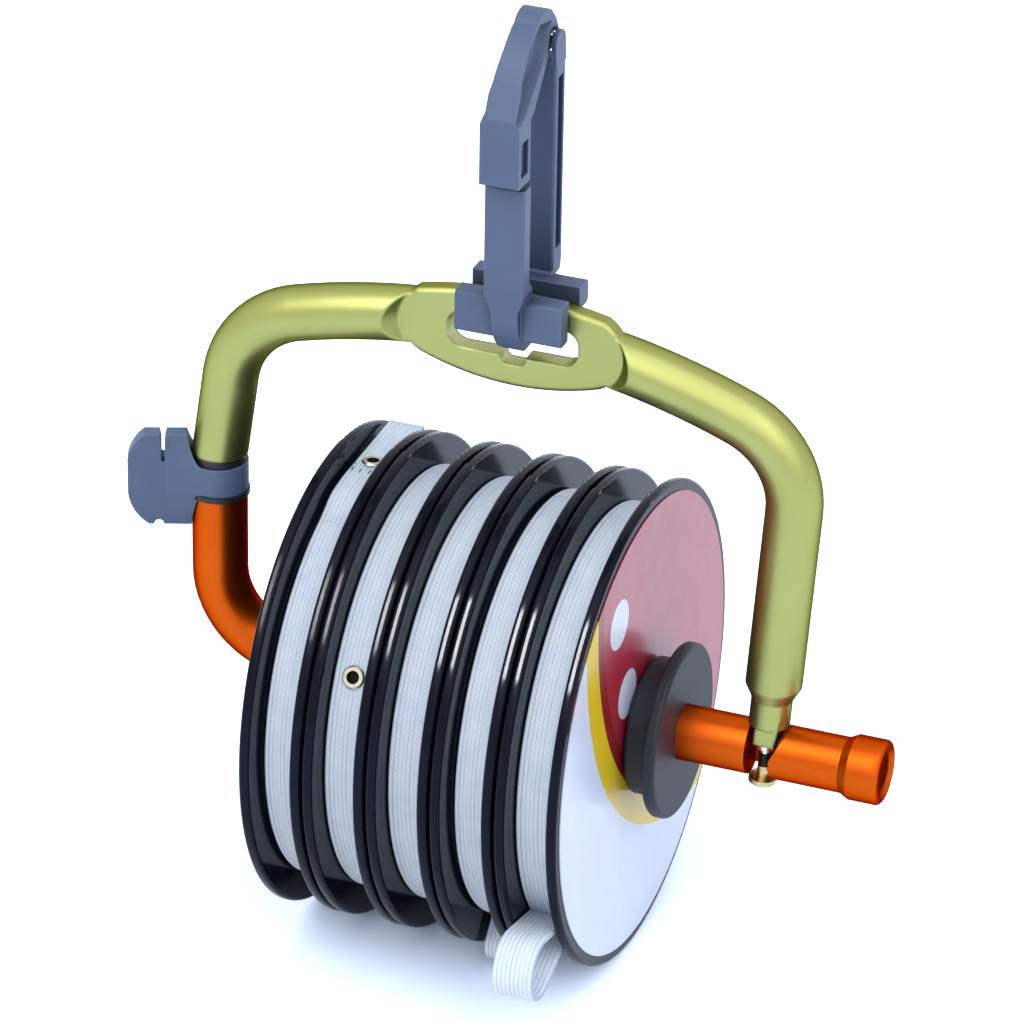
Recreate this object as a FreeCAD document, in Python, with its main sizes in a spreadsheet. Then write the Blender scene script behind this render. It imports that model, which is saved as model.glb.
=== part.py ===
import FreeCAD, Part
import math
import os
import re

import Sketcher

# Frame: millimetres, +Z up. The origin is where the axis of the upright leg crosses
# the axis of the spool bar; +X runs along the bar to its end cap and +Y runs to the
# back of the holder. The clip stands on +Z, above the middle of the arched arm.

SIZES = {
    # Spool bar and its upright leg, one bent rod.
    "rod_diameter": 6.85,
    "rod_bend_radius": 10,
    "rod_leg_top": 20.3,
    "bar_end_x": 81.2,
    "bar_spigot_diameter": 5.2,
    "bar_spigot_length": 3.4,
    # Side slot in the bar that the arm's latch tongue drops into.
    "slot_left_x": 69.4,
    "slot_right_x": 72.5,
    "slot_mouth_x": 74.1,
    "slot_slant_low_z": 0.3,
    "slot_slant_top_z": 3.5,
    "slot_floor_y": 1.6,
    # Pivot between leg and arm.
    "pin_diameter": 3,
    "pin_in_leg": 8.3,
    "pin_above_ring": 1.3,
    "pin_chamfer": 0.3,
    "pin_running_clearance": 0.05,
    "ring_above_foot": 3.7,
    "ring_thickness": 0.6,
    "ring_outer_diameter": 4,
    "ring_groove_diameter": 2.3,
    "ring_groove_play": 0.1,
    "ring_gap": 1,
    "lower_washer_thickness": 0.7,
    "lower_washer_diameter": 7.4,
    "upper_washer_thickness": 1.05,
    "upper_washer_diameter": 6.5,
    "stack_clearance": 0.05,
    # Arched arm: two leaning legs joined to a wide arch by two bends.
    "arm_foot_x": 0.1,
    "arm_foot_z": 25.9,
    "left_lean": 8,
    "left_bend_radius": 12,
    "arch_radius": 90,
    "arch_top_x": 34,
    "arch_top_z": 49.6,
    "right_bend_radius": 11,
    "right_lean": 3.9,
    "latch_x": 71.16,
    "foot_cut_depth": 3,
    # Swaged eye: the bar is pressed flat and spreads into a lens shape, then it is pierced.
    "eye_top_left_x": 26,
    "eye_top_left_z": 53.1,
    "eye_left_radius": 4.7,
    "eye_low_left_x": 26.4,
    "eye_low_left_z": 45,
    "eye_low_radius": 34,
    "eye_low_right_x": 49,
    "eye_low_right_z": 44.2,
    "eye_right_radius": 4.9,
    "eye_top_right_x": 49.6,
    "eye_top_right_z": 53,
    "eye_top_radius": 55,
    "flat_half_thickness": 1.3,
    "flat_edge_bevel": 0.4,
    "flat_ramp_angle": 35,
    "flat_ramp_start": 0.02,
    "eye_slot_left_x": 30,
    "eye_slot_right_x": 46.5,
    "eye_slot_low_z": 46.6,
    "eye_slot_top_z": 51.2,
    "eye_slot_corner": 1.9,
    "eye_notch_left_x": 36.8,
    "eye_notch_right_x": 39.9,
    "eye_notch_low_z": 45.5,
    "eye_notch_corner": 0.8,
    # Latch end of the arm, measured along the leaning leg from the bar axis.
    "latch_shoulder": 9.2,
    "latch_neck_top": 7.3,
    "latch_neck_diameter": 5,
    "latch_neck_low": 3.75,
    "tongue_tip": 1.4,
    "tongue_top": 5.5,
    "tongue_left": 1.15,
    "tongue_right_tip": 1.45,
    "tongue_right_top": 1.85,
    "tongue_front": 2.1,
    "tongue_back": 1.3,
    "stud_diameter": 1.6,
    "stud_in_arm": 6,
    "stud_collar_diameter": 2.5,
    "stud_collar_low": 0.35,
    "stud_collar_top": 1.2,
    "stud_head_diameter": 3.5,
    "stud_head_top": 3.78,
    "stud_head_low": 4.6,
    "stud_head_edge": 0.2,
    # Nipper that turns on the pivot, with a guarded blade.
    "nipper_turn": 202,
    "nipper_collar_diameter": 7.12,
    "nipper_collar_top": 24.8,
    "paddle_thickness": 2.06,
    "paddle_root": 2.4,
    "paddle_low_z": 16.2,
    "paddle_top_z": 28.4,
    "paddle_reach": 11.15,
    "paddle_low_corner_r": 8.6,
    "paddle_side_low_z": 20.6,
    "paddle_side_top_z": 25.1,
    "paddle_top_corner_r": 9.1,
    "paddle_low_round": 5.6,
    "paddle_top_round": 5.6,
    "thumb_notch_r": 7.4,
    "thumb_notch_radius": 0.6,
    "flare_root_r": 1.2,
    "flare_root_half": 3.34,
    "flare_tip_r": 6.5,
    "flare_fade_root_r": 2.6,
    "flare_fade_root_half": 1.08,
    "flare_fade_tip_r": 5.8,
    "leg_room_low": 3.6,
    "leg_room_mid": 3.65,
    "leg_room_top": 4.05,
    "washer_clearance": 0.1,
    "washer_clearance_drop": 0.85,
    "cut_overrun": 0.6,
    "line_slit_r": 6.6,
    "line_slit_width": 0.45,
    "line_slit_floor_z": 24.7,
    "line_mouth_low_z": 27.56,
    "line_mouth_spread": 0.32,
    "blade_thickness": 0.5,
    "blade_left_r": 5.2,
    "blade_right_r": 8.4,
    "blade_low_z": 23.4,
    "blade_left_edge_z": 25,
    "blade_right_edge_z": 26.4,
    # Five spools in a row on the bar.
    "first_spool_x": 15.3,
    "spool_pitch": 8.1,
    "spool_width": 7.8,
    "spool_diameter": 60,
    "cheek_thickness": 1.3,
    "cheek_rim_round": 0.45,
    "channel_depth": 8,
    "spool_bore": 8.4,
    "winding_depth": 3,
    "winding_side_gap": 0.1,
    "band_thickness": 1.2,
    "band_side_gap": 0.15,
    "eyelet_barrel_diameter": 2.2,
    "eyelet_hole_diameter": 1.6,
    "eyelet_rim_diameter": 2.8,
    "eyelet_rim_height": 0.35,
    "eyelet_depth": 1.1,
    "eyelet_turn_one": -5,
    "eyelet_turn_two": 62,
    "eyelet_turn_three": 200,
    "eyelet_turn_four": 245,
    "eyelet_turn_five": 262,
    "ribbon": 0.8,
    "ribbon_bite": 0.1,
    "tail_lap": 4.5,
    "tail_reach": 12.8,
    "tail_rise": 0.5,
    "tail_turn": 0,
    "loop_root_bite": 0.75,
    "loop_shoulder_angle": 20,
    "loop_radius_four": 2.2,
    "loop_stand_four": 3.4,
    "loop_neck_four": 1.2,
    "loop_turn_four": 153,
    "loop_lean_four": 0,
    "loop_radius_five": 4,
    "loop_stand_five": 9.5,
    "loop_neck_five": 1,
    "loop_turn_five": 131,
    "loop_lean_five": -35,
    "label_margin": 1.4,
    "label_hole": 9.2,
    "label_thickness": 0.15,
    # Stop that holds the row of spools, and the cap on the end of the bar.
    "stop_gap": 0.4,
    "stop_boss_diameter": 16.9,
    "stop_boss_length": 3.1,
    "stop_flange_diameter": 21.6,
    "stop_length": 4.8,
    "stop_round": 0.5,
    "stop_running_clearance": 0.03,
    "cap_length": 5,
    "cap_diameter": 8,
    "cap_slope_length": 1.1,
    "cap_round": 0.6,
    "cap_lip_radius": 3.1,
    "cap_recess": 0.5,
    "cap_dimple_circle": 4,
    "cap_dimple_diameter": 0.7,
    "cap_dimple_depth": 0.4,
    "cap_dimple_count": 8,
    # Clip: a tall narrow ring, looped through the eye of the arm.
    "clip_x": 38.7,
    "clip_arm_width": 5,
    "clip_stem_width": 3.3,
    "front_arm_outer_y": 5.9,
    "front_arm_inner_y": 3.5,
    "front_arm_top_z": 70.3,
    "rear_arm_inner_y": 3.9,
    "rear_arm_outer_y": 7,
    "rear_arm_top_z": 82.6,
    "rear_channel_inset": 0.7,
    "rear_channel_depth": 0.9,
    "rear_channel_low_z": 58.5,
    "rear_channel_top_z": 80.5,
    "front_narrowing_low_z": 54.2,
    "front_narrowing_top_z": 56.6,
    "rear_narrowing_low_z": 53.8,
    "rear_narrowing_top_z": 55.4,
    "stem_shoulder_z": 57.6,
    "stem_waist_z": 55.6,
    "rear_shoulder_z": 55.8,
    "rear_waist_z": 54.4,
    "stem_front_y": 5.2,
    "stem_rear_y": 5.6,
    "stem_side_z": 52.6,
    "stem_bottom_z": 47.6,
    "stem_bottom_half": 1.2,
    "stem_outer_round": 6.5,
    "stem_edge_chamfer": 0.8,
    "loop_half_gap": 1.75,
    "loop_floor_z": 50.9,
    "loop_corner": 0.8,
    "front_bar_half_length": 6.65,
    "front_bar_low_z": 50.2,
    "front_bar_top_z": 55.4,
    "front_bar_front_y": 4.2,
    "rear_bar_half_length": 6.75,
    "rear_bar_low_z": 52.7,
    "rear_bar_top_z": 55.6,
    "rear_bar_back_y": 4.6,
    "crossbar_round": 0.5,
    "arm_edge_round": 0.4,
    "arm_edge_long": 10,
    "nose_half_width": 1.6,
    "nose_front_y": 5.4,
    "nose_back_y": 4.5,
    "nose_top_z": 76.4,
    "knuckle_y": 5.2,
    "knuckle_z": 84.6,
    "knuckle_radius": 1.6,
    "knuckle_play": 0.2,
    "tail_half_width": 1.7,
    "lug_slope": 0.7,
    "hinge_pin_diameter": 1.4,
    "hinge_clearance": 0.04,
    "spring_room": 1.6,
    "spring_wire": 0.3,
    "spring_coil_radius": 1.2,
    "spring_turns": 1.5,
    "spring_side_gap": 0.12,
    # Gate of the clip, hinged at the back and closing over the nose of the front arm.
    "gate_play": 0.2,
    "block_width": 4.9,
    "block_front_y": 7.7,
    "block_back_y": 4.1,
    "block_low_z": 71.3,
    "block_top_z": 79.5,
    "gate_slope_top_y": 5.5,
    "gate_slope_top_z": 83.5,
    "gate_crown_left_y": 0.3,
    "gate_crown_left_z": 88.5,
    "gate_crown_right_y": 5.2,
    "gate_crown_right_z": 88.2,
    "gate_rear_y": 6.9,
    "gate_rear_z": 85.6,
    "gate_left_round": 14,
    "gate_top_round": 3.2,
    "gate_rear_round": 5,
    "gate_heel_y": 3.5,
    "gate_heel_z": 83.8,
    "gate_inner_low_y": 2.8,
    "gate_inner_low_z": 79.6,
    "gate_inner_top_y": 1.5,
    "gate_inner_top_z": 82.5,
    "gate_taper_low_z": 79.5,
    "gate_taper_middle_z": 83.4,
    "gate_taper_top_z": 86.4,
    "gate_middle_width": 3.5,
    "gate_crown_width": 3,
    "gate_pocket_floor": 0.7,
    "gate_pocket_draft": 30,
    "pocket_low_y": 6.2,
    "pocket_low_z": 80.7,
    "pocket_middle_y": 4.7,
    "pocket_middle_z": 83.4,
    "pocket_left_y": 2.6,
    "pocket_left_z": 85.8,
    "pocket_top_y": 0.9,
    "pocket_top_z": 87.9,
    "pocket_right_y": 3.9,
    "pocket_right_z": 87.2,
    "pocket_heel_y": 1.2,
    "pocket_heel_z": 84,
    "window_front_y": 7,
    "window_back_y": 4.8,
    "window_low_z": 72.4,
    "window_top_z": 76.8,
    "nose_clearance": 0.25,
}

document = FreeCAD.newDocument("TippetHolder")
sheet = document.addObject("Spreadsheet::Sheet", "Sizes")
for row, (alias, amount) in enumerate(SIZES.items(), start=1):
    sheet.set("A%d" % row, alias)
    sheet.set("B%d" % row, str(amount))
    sheet.setAlias("B%d" % row, alias)
document.recompute()

point = FreeCAD.Vector
WORD = re.compile(r"[a-z][a-z0-9_]*")
LEFT = 1
RIGHT = -1


def sized(text):
    """Point each size name in a formula at its cell in the sheet."""
    return WORD.sub(lambda found: "Sizes." + found.group() if found.group() in SIZES else found.group(), text)


def amount_of(text):
    """Work out a formula once, to draw geometry near its final place."""
    return float(sheet.evalExpression(sized(text)))


def new_body(label, at=("0", "0", "0"), turn_axis=None, turn="0"):
    """Start a sub-part whose own frame is placed by named sizes."""
    made = document.addObject("PartDesign::Body", label)
    if turn_axis:
        made.Placement = FreeCAD.Placement(point(), FreeCAD.Rotation(point(*turn_axis), amount_of(turn)))
        made.setExpression("Placement.Rotation.Angle", "(%s) * 1deg" % sized(turn))
    for letter, text in zip("xyz", at):
        made.setExpression("Placement.Base." + letter, sized(text))
    return made


def new_sketch(owner, name, plane, away="0", right="0", up="0", turn_axis=None, turn="0"):
    """Put a sketch on one of the body's own planes, moved by named sizes."""
    made = owner.newObject("Sketcher::SketchObject", name)
    support = [item for item in owner.Origin.OriginFeatures if item.Role == plane + "_Plane"][0]
    made.AttachmentSupport = [(support, "")]
    made.MapMode = "FlatFace"
    if turn_axis:
        turned = FreeCAD.Rotation(point(*turn_axis), amount_of(turn))
        made.AttachmentOffset = FreeCAD.Placement(point(), turned)
        made.setExpression("AttachmentOffset.Rotation.Angle", "(%s) * 1deg" % sized(turn))
    for letter, text in zip("xyz", (right, up, away)):
        made.setExpression("AttachmentOffset.Base." + letter, sized(text))
    return made


def bind(target, constraint, text):
    """Add a driving dimension and tie it to a formula."""
    index = target.addConstraint(constraint)
    target.setExpression("Constraints[%d]" % index, sized(text))


def bind_point(target, piece, end, across, up):
    """Tie one point of a sketch to a pair of formulas."""
    bind(target, Sketcher.Constraint("DistanceX", -1, 1, piece, end, amount_of(across)), across)
    bind(target, Sketcher.Constraint("DistanceY", -1, 1, piece, end, amount_of(up)), up)


def draw_outline(target, corners):
    """Draw a closed chain. A corner is (across, up), with (radius, side) added for an arc that follows it."""
    spots = [point(amount_of(corner[0]), amount_of(corner[1]), 0) for corner in corners]
    pieces = []
    for index, corner in enumerate(corners):
        start = spots[index]
        end = spots[(index + 1) % len(corners)]
        if len(corner) == 2:
            pieces.append((target.addGeometry(Part.LineSegment(start, end)), 1, 2))
            continue
        radius = amount_of(corner[2])
        chord = end - start
        depth = radius - math.sqrt(max(radius ** 2 - (chord.Length / 2) ** 2, 0))
        sideways = point(-chord.y, chord.x, 0).normalize() * (corner[3] * depth)
        piece = target.addGeometry(Part.Arc(start, (start + end) * 0.5 + sideways, end))
        pieces.append((piece, 2, 1) if corner[3] == LEFT else (piece, 1, 2))
    for index, corner in enumerate(corners):
        piece, first, last = pieces[index]
        follower = pieces[(index + 1) % len(corners)]
        target.addConstraint(Sketcher.Constraint("Coincident", piece, last, follower[0], follower[1]))
        bind_point(target, piece, first, corner[0], corner[1])
        if len(corner) == 4:
            bind(target, Sketcher.Constraint("Radius", piece, amount_of(corner[2])), corner[2])


def draw_circle(target, across, up, radius):
    """Draw a circle with a bound centre and radius."""
    centre = point(amount_of(across), amount_of(up), 0)
    piece = target.addGeometry(Part.Circle(centre, point(0, 0, 1), amount_of(radius)))
    bind_point(target, piece, 3, across, up)
    bind(target, Sketcher.Constraint("Radius", piece, amount_of(radius)), radius)


def draw_box(target, left, low, right, top):
    """Draw a rectangle between four bound sides."""
    draw_outline(target, [(left, low), (right, low), (right, top), (left, top)])


def extrude(owner, name, profile, length, cut=False, both=False, back=False):
    """Pad a profile, or pocket it, by a bound length."""
    made = owner.newObject("PartDesign::Pocket" if cut else "PartDesign::Pad", name)
    made.Profile = profile
    made.setExpression("Length", sized(length))
    made.SideType = "Symmetric" if both else "One side"
    made.Reversed = back
    return made


def spin(owner, name, profile, axis="H_Axis", cut=False):
    """Turn a profile a full circle about one axis of its sketch."""
    made = owner.newObject("PartDesign::Groove" if cut else "PartDesign::Revolution", name)
    made.Profile = profile
    made.ReferenceAxis = (profile, [axis])
    made.Angle = 360
    return made


def sweep(owner, name, profile, path, edges):
    """Carry a profile along a path of tangent edges."""
    made = owner.newObject("PartDesign::AdditivePipe", name)
    made.Profile = profile
    made.Spine = (path, ["Edge%d" % (index + 1) for index in range(edges)])
    return made


def loft(owner, name, sections, ruled):
    """Join a row of sections into one solid."""
    made = owner.newObject("PartDesign::AdditiveLoft", name)
    made.Profile = sections[0]
    made.Sections = sections[1:]
    made.Ruled = ruled
    return made


def turned_part(label, at, corners, turn_axis=None, turn="0"):
    """Make a body by turning one closed profile about its own X axis."""
    made = new_body(label, at, turn_axis, turn)
    profile = new_sketch(made, label + "_profile", "XY")
    draw_outline(profile, corners)
    spin(made, label + "_turning", profile)
    return made


def upright_part(label, corners, at=("0", "0", "0")):
    """Make a body by turning one closed profile about its own Z axis."""
    made = new_body(label, at)
    profile = new_sketch(made, label + "_profile", "XZ")
    draw_outline(profile, corners)
    spin(made, label + "_turning", profile, "V_Axis")
    return made


def round_edges(owner, name, radius, chosen):
    """Round the edges of the last feature that pass a test."""
    document.recompute()
    base = owner.Tip
    names = ["Edge%d" % (index + 1) for index, edge in enumerate(base.Shape.Edges) if chosen(edge)]
    made = owner.newObject("PartDesign::Fillet", name)
    made.Base = (base, names)
    made.setExpression("Radius", sized(radius))
    return made


# Spool bar and leg: one round rod bent through a right angle. The bar is cut from the
# front for the latch tongue and turned down at its end for the cap; the leg is bored
# for the pivot pin.
rod = new_body("rod")
rod_path = new_sketch(rod, "rod_path", "XZ")
leg_line = rod_path.addGeometry(Part.LineSegment(
    point(0, amount_of("rod_leg_top"), 0), point(0, amount_of("rod_bend_radius"), 0)))
half_bend = amount_of("rod_bend_radius") * (1 - math.sqrt(0.5))
rod_bend = rod_path.addGeometry(Part.Arc(
    point(0, amount_of("rod_bend_radius"), 0), point(half_bend, half_bend, 0),
    point(amount_of("rod_bend_radius"), 0, 0)))
bar_line = rod_path.addGeometry(Part.LineSegment(
    point(amount_of("rod_bend_radius"), 0, 0), point(amount_of("bar_end_x"), 0, 0)))
bind_point(rod_path, leg_line, 1, "0", "rod_leg_top")
bind_point(rod_path, leg_line, 2, "0", "rod_bend_radius")
rod_path.addConstraint(Sketcher.Constraint("Coincident", leg_line, 2, rod_bend, 1))
rod_path.addConstraint(Sketcher.Constraint("Coincident", bar_line, 1, rod_bend, 2))
bind_point(rod_path, bar_line, 1, "rod_bend_radius", "0")
bind_point(rod_path, bar_line, 2, "bar_end_x", "0")
bind(rod_path, Sketcher.Constraint("Radius", rod_bend, amount_of("rod_bend_radius")), "rod_bend_radius")
rod_section = new_sketch(rod, "rod_section", "XY", away="rod_leg_top")
draw_circle(rod_section, "0", "0", "rod_diameter / 2")
sweep(rod, "rod_sweep", rod_section, rod_path, 3)
spigot_section = new_sketch(rod, "spigot_section", "YZ", away="bar_end_x")
draw_circle(spigot_section, "0", "0", "bar_spigot_diameter / 2")
extrude(rod, "bar_spigot", spigot_section, "bar_spigot_length")
pin_seat = new_sketch(rod, "pin_seat", "XY", away="rod_leg_top")
draw_circle(pin_seat, "0", "0", "pin_diameter / 2")
extrude(rod, "pin_seat_bore", pin_seat, "pin_in_leg", cut=True)
latch_slot = new_sketch(rod, "latch_slot", "XZ", away="rod_diameter")
draw_outline(latch_slot, [
    ("slot_left_x", "-rod_diameter"),
    ("slot_right_x", "-rod_diameter"),
    ("slot_right_x", "slot_slant_low_z"),
    ("slot_mouth_x", "slot_slant_top_z"),
    ("slot_mouth_x", "rod_diameter"),
    ("slot_left_x", "rod_diameter"),
])
extrude(rod, "latch_slot_cut", latch_slot, "rod_diameter + slot_floor_y", cut=True)

# End cap: pressed on the spigot of the bar, sloped at its inner edge and dished at its
# outer face, with a ring of drilled dimples.
end_cap = turned_part("end_cap", ("bar_end_x", "0", "0"), [
    ("0", "bar_spigot_diameter / 2"),
    ("bar_spigot_length", "bar_spigot_diameter / 2"),
    ("bar_spigot_length", "0"),
    ("cap_length - cap_recess", "0"),
    ("cap_length - cap_recess", "cap_lip_radius - cap_recess"),
    ("cap_length", "cap_lip_radius"),
    ("cap_length", "cap_diameter / 2 - cap_round", "cap_round", RIGHT),
    ("cap_length - cap_round", "cap_diameter / 2"),
    ("cap_slope_length", "cap_diameter / 2"),
    ("0", "rod_diameter / 2"),
])
dimple = new_sketch(end_cap, "dimple", "YZ", away="cap_length - cap_recess")
draw_circle(dimple, "0", "cap_dimple_circle / 2", "cap_dimple_diameter / 2")
dimple_cut = extrude(end_cap, "dimple_cut", dimple, "cap_dimple_depth", cut=True)
dimple_ring = end_cap.newObject("PartDesign::PolarPattern", "dimple_ring")
dimple_ring.Originals = [dimple_cut]
dimple_ring.Axis = (dimple, ["N_Axis"])
dimple_ring.Angle = 360
dimple_ring.setExpression("Occurrences", sized("cap_dimple_count"))
end_cap.Tip = dimple_ring


def bend_between(line_point, line_way, radius):
    """Find where a bend touches a leg line and the arch, for the arm's first drawing."""
    arch_centre = point(amount_of("arch_top_x"), amount_of("arch_top_z - arch_radius"), 0)
    arch_radius = amount_of("arch_radius")
    inward = point(line_way.y, -line_way.x, 0)
    if inward.dot(arch_centre - line_point) < 0:
        inward = inward * -1
    base = line_point + inward * radius
    along = (arch_centre - base).dot(line_way)
    aside = (arch_centre - base - line_way * along).Length
    reach = math.sqrt((arch_radius - radius) ** 2 - aside ** 2)
    centre = base + line_way * (along + reach)
    outward = (centre - arch_centre).normalize()
    return centre, centre - inward * radius, centre + outward * radius


def arc_through(centre, start, end):
    """Draw the short arc from start to end about a centre."""
    middle = ((start + end) * 0.5 - centre).normalize() * (start - centre).Length
    return Part.Arc(start, centre + middle, end)


# Arched arm: a round rod swept over the two leaning legs, bends and arch.
upper_arm = new_body("upper_arm")
arm_path = new_sketch(upper_arm, "arm_path", "XZ")
left_start_x = "arm_foot_x - foot_cut_depth * tan(left_lean * 1deg)"
left_start_z = "arm_foot_z - foot_cut_depth"
right_end_x = "latch_x + latch_shoulder * sin(right_lean * 1deg)"
right_end_z = "latch_shoulder * cos(right_lean * 1deg)"
left_start = point(amount_of(left_start_x), amount_of(left_start_z), 0)
right_end = point(amount_of(right_end_x), amount_of(right_end_z), 0)
left_way = point(amount_of("sin(left_lean * 1deg)"), amount_of("cos(left_lean * 1deg)"), 0)
right_way = point(amount_of("sin(right_lean * 1deg)"), amount_of("cos(right_lean * 1deg)"), 0)
arch_middle = point(amount_of("arch_top_x"), amount_of("arch_top_z - arch_radius"), 0)
left_centre, left_touch, left_crown = bend_between(left_start, left_way, amount_of("left_bend_radius"))
right_centre, right_touch, right_crown = bend_between(right_end, right_way, amount_of("right_bend_radius"))
left_leg = arm_path.addGeometry(Part.LineSegment(left_start, left_touch))
left_bend = arm_path.addGeometry(arc_through(left_centre, left_touch, left_crown))
arch = arm_path.addGeometry(arc_through(arch_middle, left_crown, right_crown))
right_bend = arm_path.addGeometry(arc_through(right_centre, right_crown, right_touch))
right_leg = arm_path.addGeometry(Part.LineSegment(right_touch, right_end))
for first, first_end, second, second_end in (
        (left_leg, 2, left_bend, 2), (left_bend, 1, arch, 2), (arch, 1, right_bend, 2),
        (right_bend, 1, right_leg, 1)):
    arm_path.addConstraint(Sketcher.Constraint("Tangent", first, first_end, second, second_end))
bind_point(arm_path, left_leg, 1, left_start_x, left_start_z)
bind_point(arm_path, right_leg, 2, right_end_x, right_end_z)
bind_point(arm_path, arch, 3, "arch_top_x", "arch_top_z - arch_radius")
bind(arm_path, Sketcher.Constraint("Radius", arch, amount_of("arch_radius")), "arch_radius")
bind(arm_path, Sketcher.Constraint("Radius", left_bend, amount_of("left_bend_radius")), "left_bend_radius")
bind(arm_path, Sketcher.Constraint("Radius", right_bend, amount_of("right_bend_radius")), "right_bend_radius")
bind(arm_path, Sketcher.Constraint("Angle", left_leg, math.radians(90 - amount_of("left_lean"))),
     "(90 - left_lean) * 1deg")
bind(arm_path, Sketcher.Constraint("Angle", right_leg, math.radians(-90 - amount_of("right_lean"))),
     "-(90 + right_lean) * 1deg")
arm_section = new_sketch(upper_arm, "arm_section", "XY", away=left_start_z, right=left_start_x,
                         turn_axis=(0, 1, 0), turn="left_lean")
draw_circle(arm_section, "0", "0", "rod_diameter / 2")
sweep(upper_arm, "arm_sweep", arm_section, arm_path, 5)


# The eye: a flat lens with bevelled edges, thinner than the bar. Tapered pockets press
# the bar down to its two faces and leave a ramp at each end.
def draw_eye(target, grow):
    """Draw the lens outline of the eye, larger on every side by a small amount."""
    draw_outline(target, [
        ("eye_top_left_x - " + grow, "eye_top_left_z + " + grow, "eye_left_radius + " + grow, RIGHT),
        ("eye_low_left_x - " + grow, "eye_low_left_z - " + grow, "eye_low_radius + " + grow, RIGHT),
        ("eye_low_right_x + " + grow, "eye_low_right_z - " + grow, "eye_right_radius + " + grow, RIGHT),
        ("eye_top_right_x + " + grow, "eye_top_right_z + " + grow, "eye_top_radius + " + grow, RIGHT),
    ])


eye_plate = new_sketch(upper_arm, "eye_plate", "XZ")
draw_eye(eye_plate, "0")
extrude(upper_arm, "eye_plate_pad", eye_plate, "2 * (flat_half_thickness - flat_edge_bevel)", both=True)
for side, sign, outward in (("front", "", True), ("back", "-", False)):
    bevel = new_sketch(upper_arm, "eye_bevel_" + side, "XZ",
                       away=sign + "(flat_half_thickness - flat_edge_bevel)")
    draw_eye(bevel, "0")
    bevel_pad = extrude(upper_arm, "eye_bevel_pad_" + side, bevel, "flat_edge_bevel", back=not outward)
    bevel_pad.TaperAngle = -45
    pressing = new_sketch(upper_arm, "eye_pressing_" + side, "XZ", away=sign + "flat_half_thickness")
    draw_eye(pressing, "flat_ramp_start")
    pressed = extrude(upper_arm, "eye_pressed_" + side, pressing, "rod_diameter - flat_half_thickness",
                      cut=True, back=outward)
    pressed.setExpression("TaperAngle", sized("flat_ramp_angle"))

# The slot through the eye has rounded ends and a small notch in its lower edge.
eye_slot = new_sketch(upper_arm, "eye_slot", "XZ")
draw_outline(eye_slot, [
    ("eye_slot_left_x + eye_slot_corner", "eye_slot_low_z"),
    ("eye_notch_left_x", "eye_slot_low_z"),
    ("eye_notch_left_x", "eye_notch_low_z + eye_notch_corner", "eye_notch_corner", RIGHT),
    ("eye_notch_left_x + eye_notch_corner", "eye_notch_low_z"),
    ("eye_notch_right_x - eye_notch_corner", "eye_notch_low_z", "eye_notch_corner", RIGHT),
    ("eye_notch_right_x", "eye_notch_low_z + eye_notch_corner"),
    ("eye_notch_right_x", "eye_slot_low_z"),
    ("eye_slot_right_x - eye_slot_corner", "eye_slot_low_z", "eye_slot_corner", RIGHT),
    ("eye_slot_right_x", "eye_slot_low_z + eye_slot_corner"),
    ("eye_slot_right_x", "eye_slot_top_z - eye_slot_corner", "eye_slot_corner", RIGHT),
    ("eye_slot_right_x - eye_slot_corner", "eye_slot_top_z"),
    ("eye_slot_left_x + eye_slot_corner", "eye_slot_top_z", "eye_slot_corner", RIGHT),
    ("eye_slot_left_x", "eye_slot_top_z - eye_slot_corner"),
    ("eye_slot_left_x", "eye_slot_low_z + eye_slot_corner", "eye_slot_corner", RIGHT),
])
extrude(upper_arm, "eye_piercing", eye_slot, "rod_diameter", cut=True, both=True)

# The foot of the arm is cut level over the pivot, and bored for the pin and its ring.
foot_cut = new_sketch(upper_arm, "foot_cut", "XZ")
draw_box(foot_cut, "-rod_diameter", "arm_foot_z - 2 * foot_cut_depth", "rod_diameter", "arm_foot_z")
extrude(upper_arm, "foot_level", foot_cut, "2 * rod_diameter", cut=True, both=True)
foot_bore = new_sketch(upper_arm, "foot_bore", "XZ")
bore_radius = "(pin_diameter / 2 + pin_running_clearance)"
ring_room = "(ring_outer_diameter / 2 + ring_groove_play)"
ring_low = "arm_foot_z + ring_above_foot"
ring_top = "arm_foot_z + ring_above_foot + ring_thickness"
pin_top = "arm_foot_z + ring_above_foot + ring_thickness + pin_above_ring"
draw_outline(foot_bore, [
    ("0", "arm_foot_z - foot_cut_depth"),
    (bore_radius, "arm_foot_z - foot_cut_depth"),
    (bore_radius, ring_low + " - ring_groove_play"),
    (ring_room, ring_low + " - ring_groove_play"),
    (ring_room, ring_top + " + ring_groove_play"),
    (bore_radius, ring_top + " + ring_groove_play"),
    (bore_radius, pin_top + " + pin_chamfer"),
    ("0", pin_top + " + pin_chamfer"),
])
spin(upper_arm, "foot_boring", foot_bore, "V_Axis", cut=True)

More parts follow.
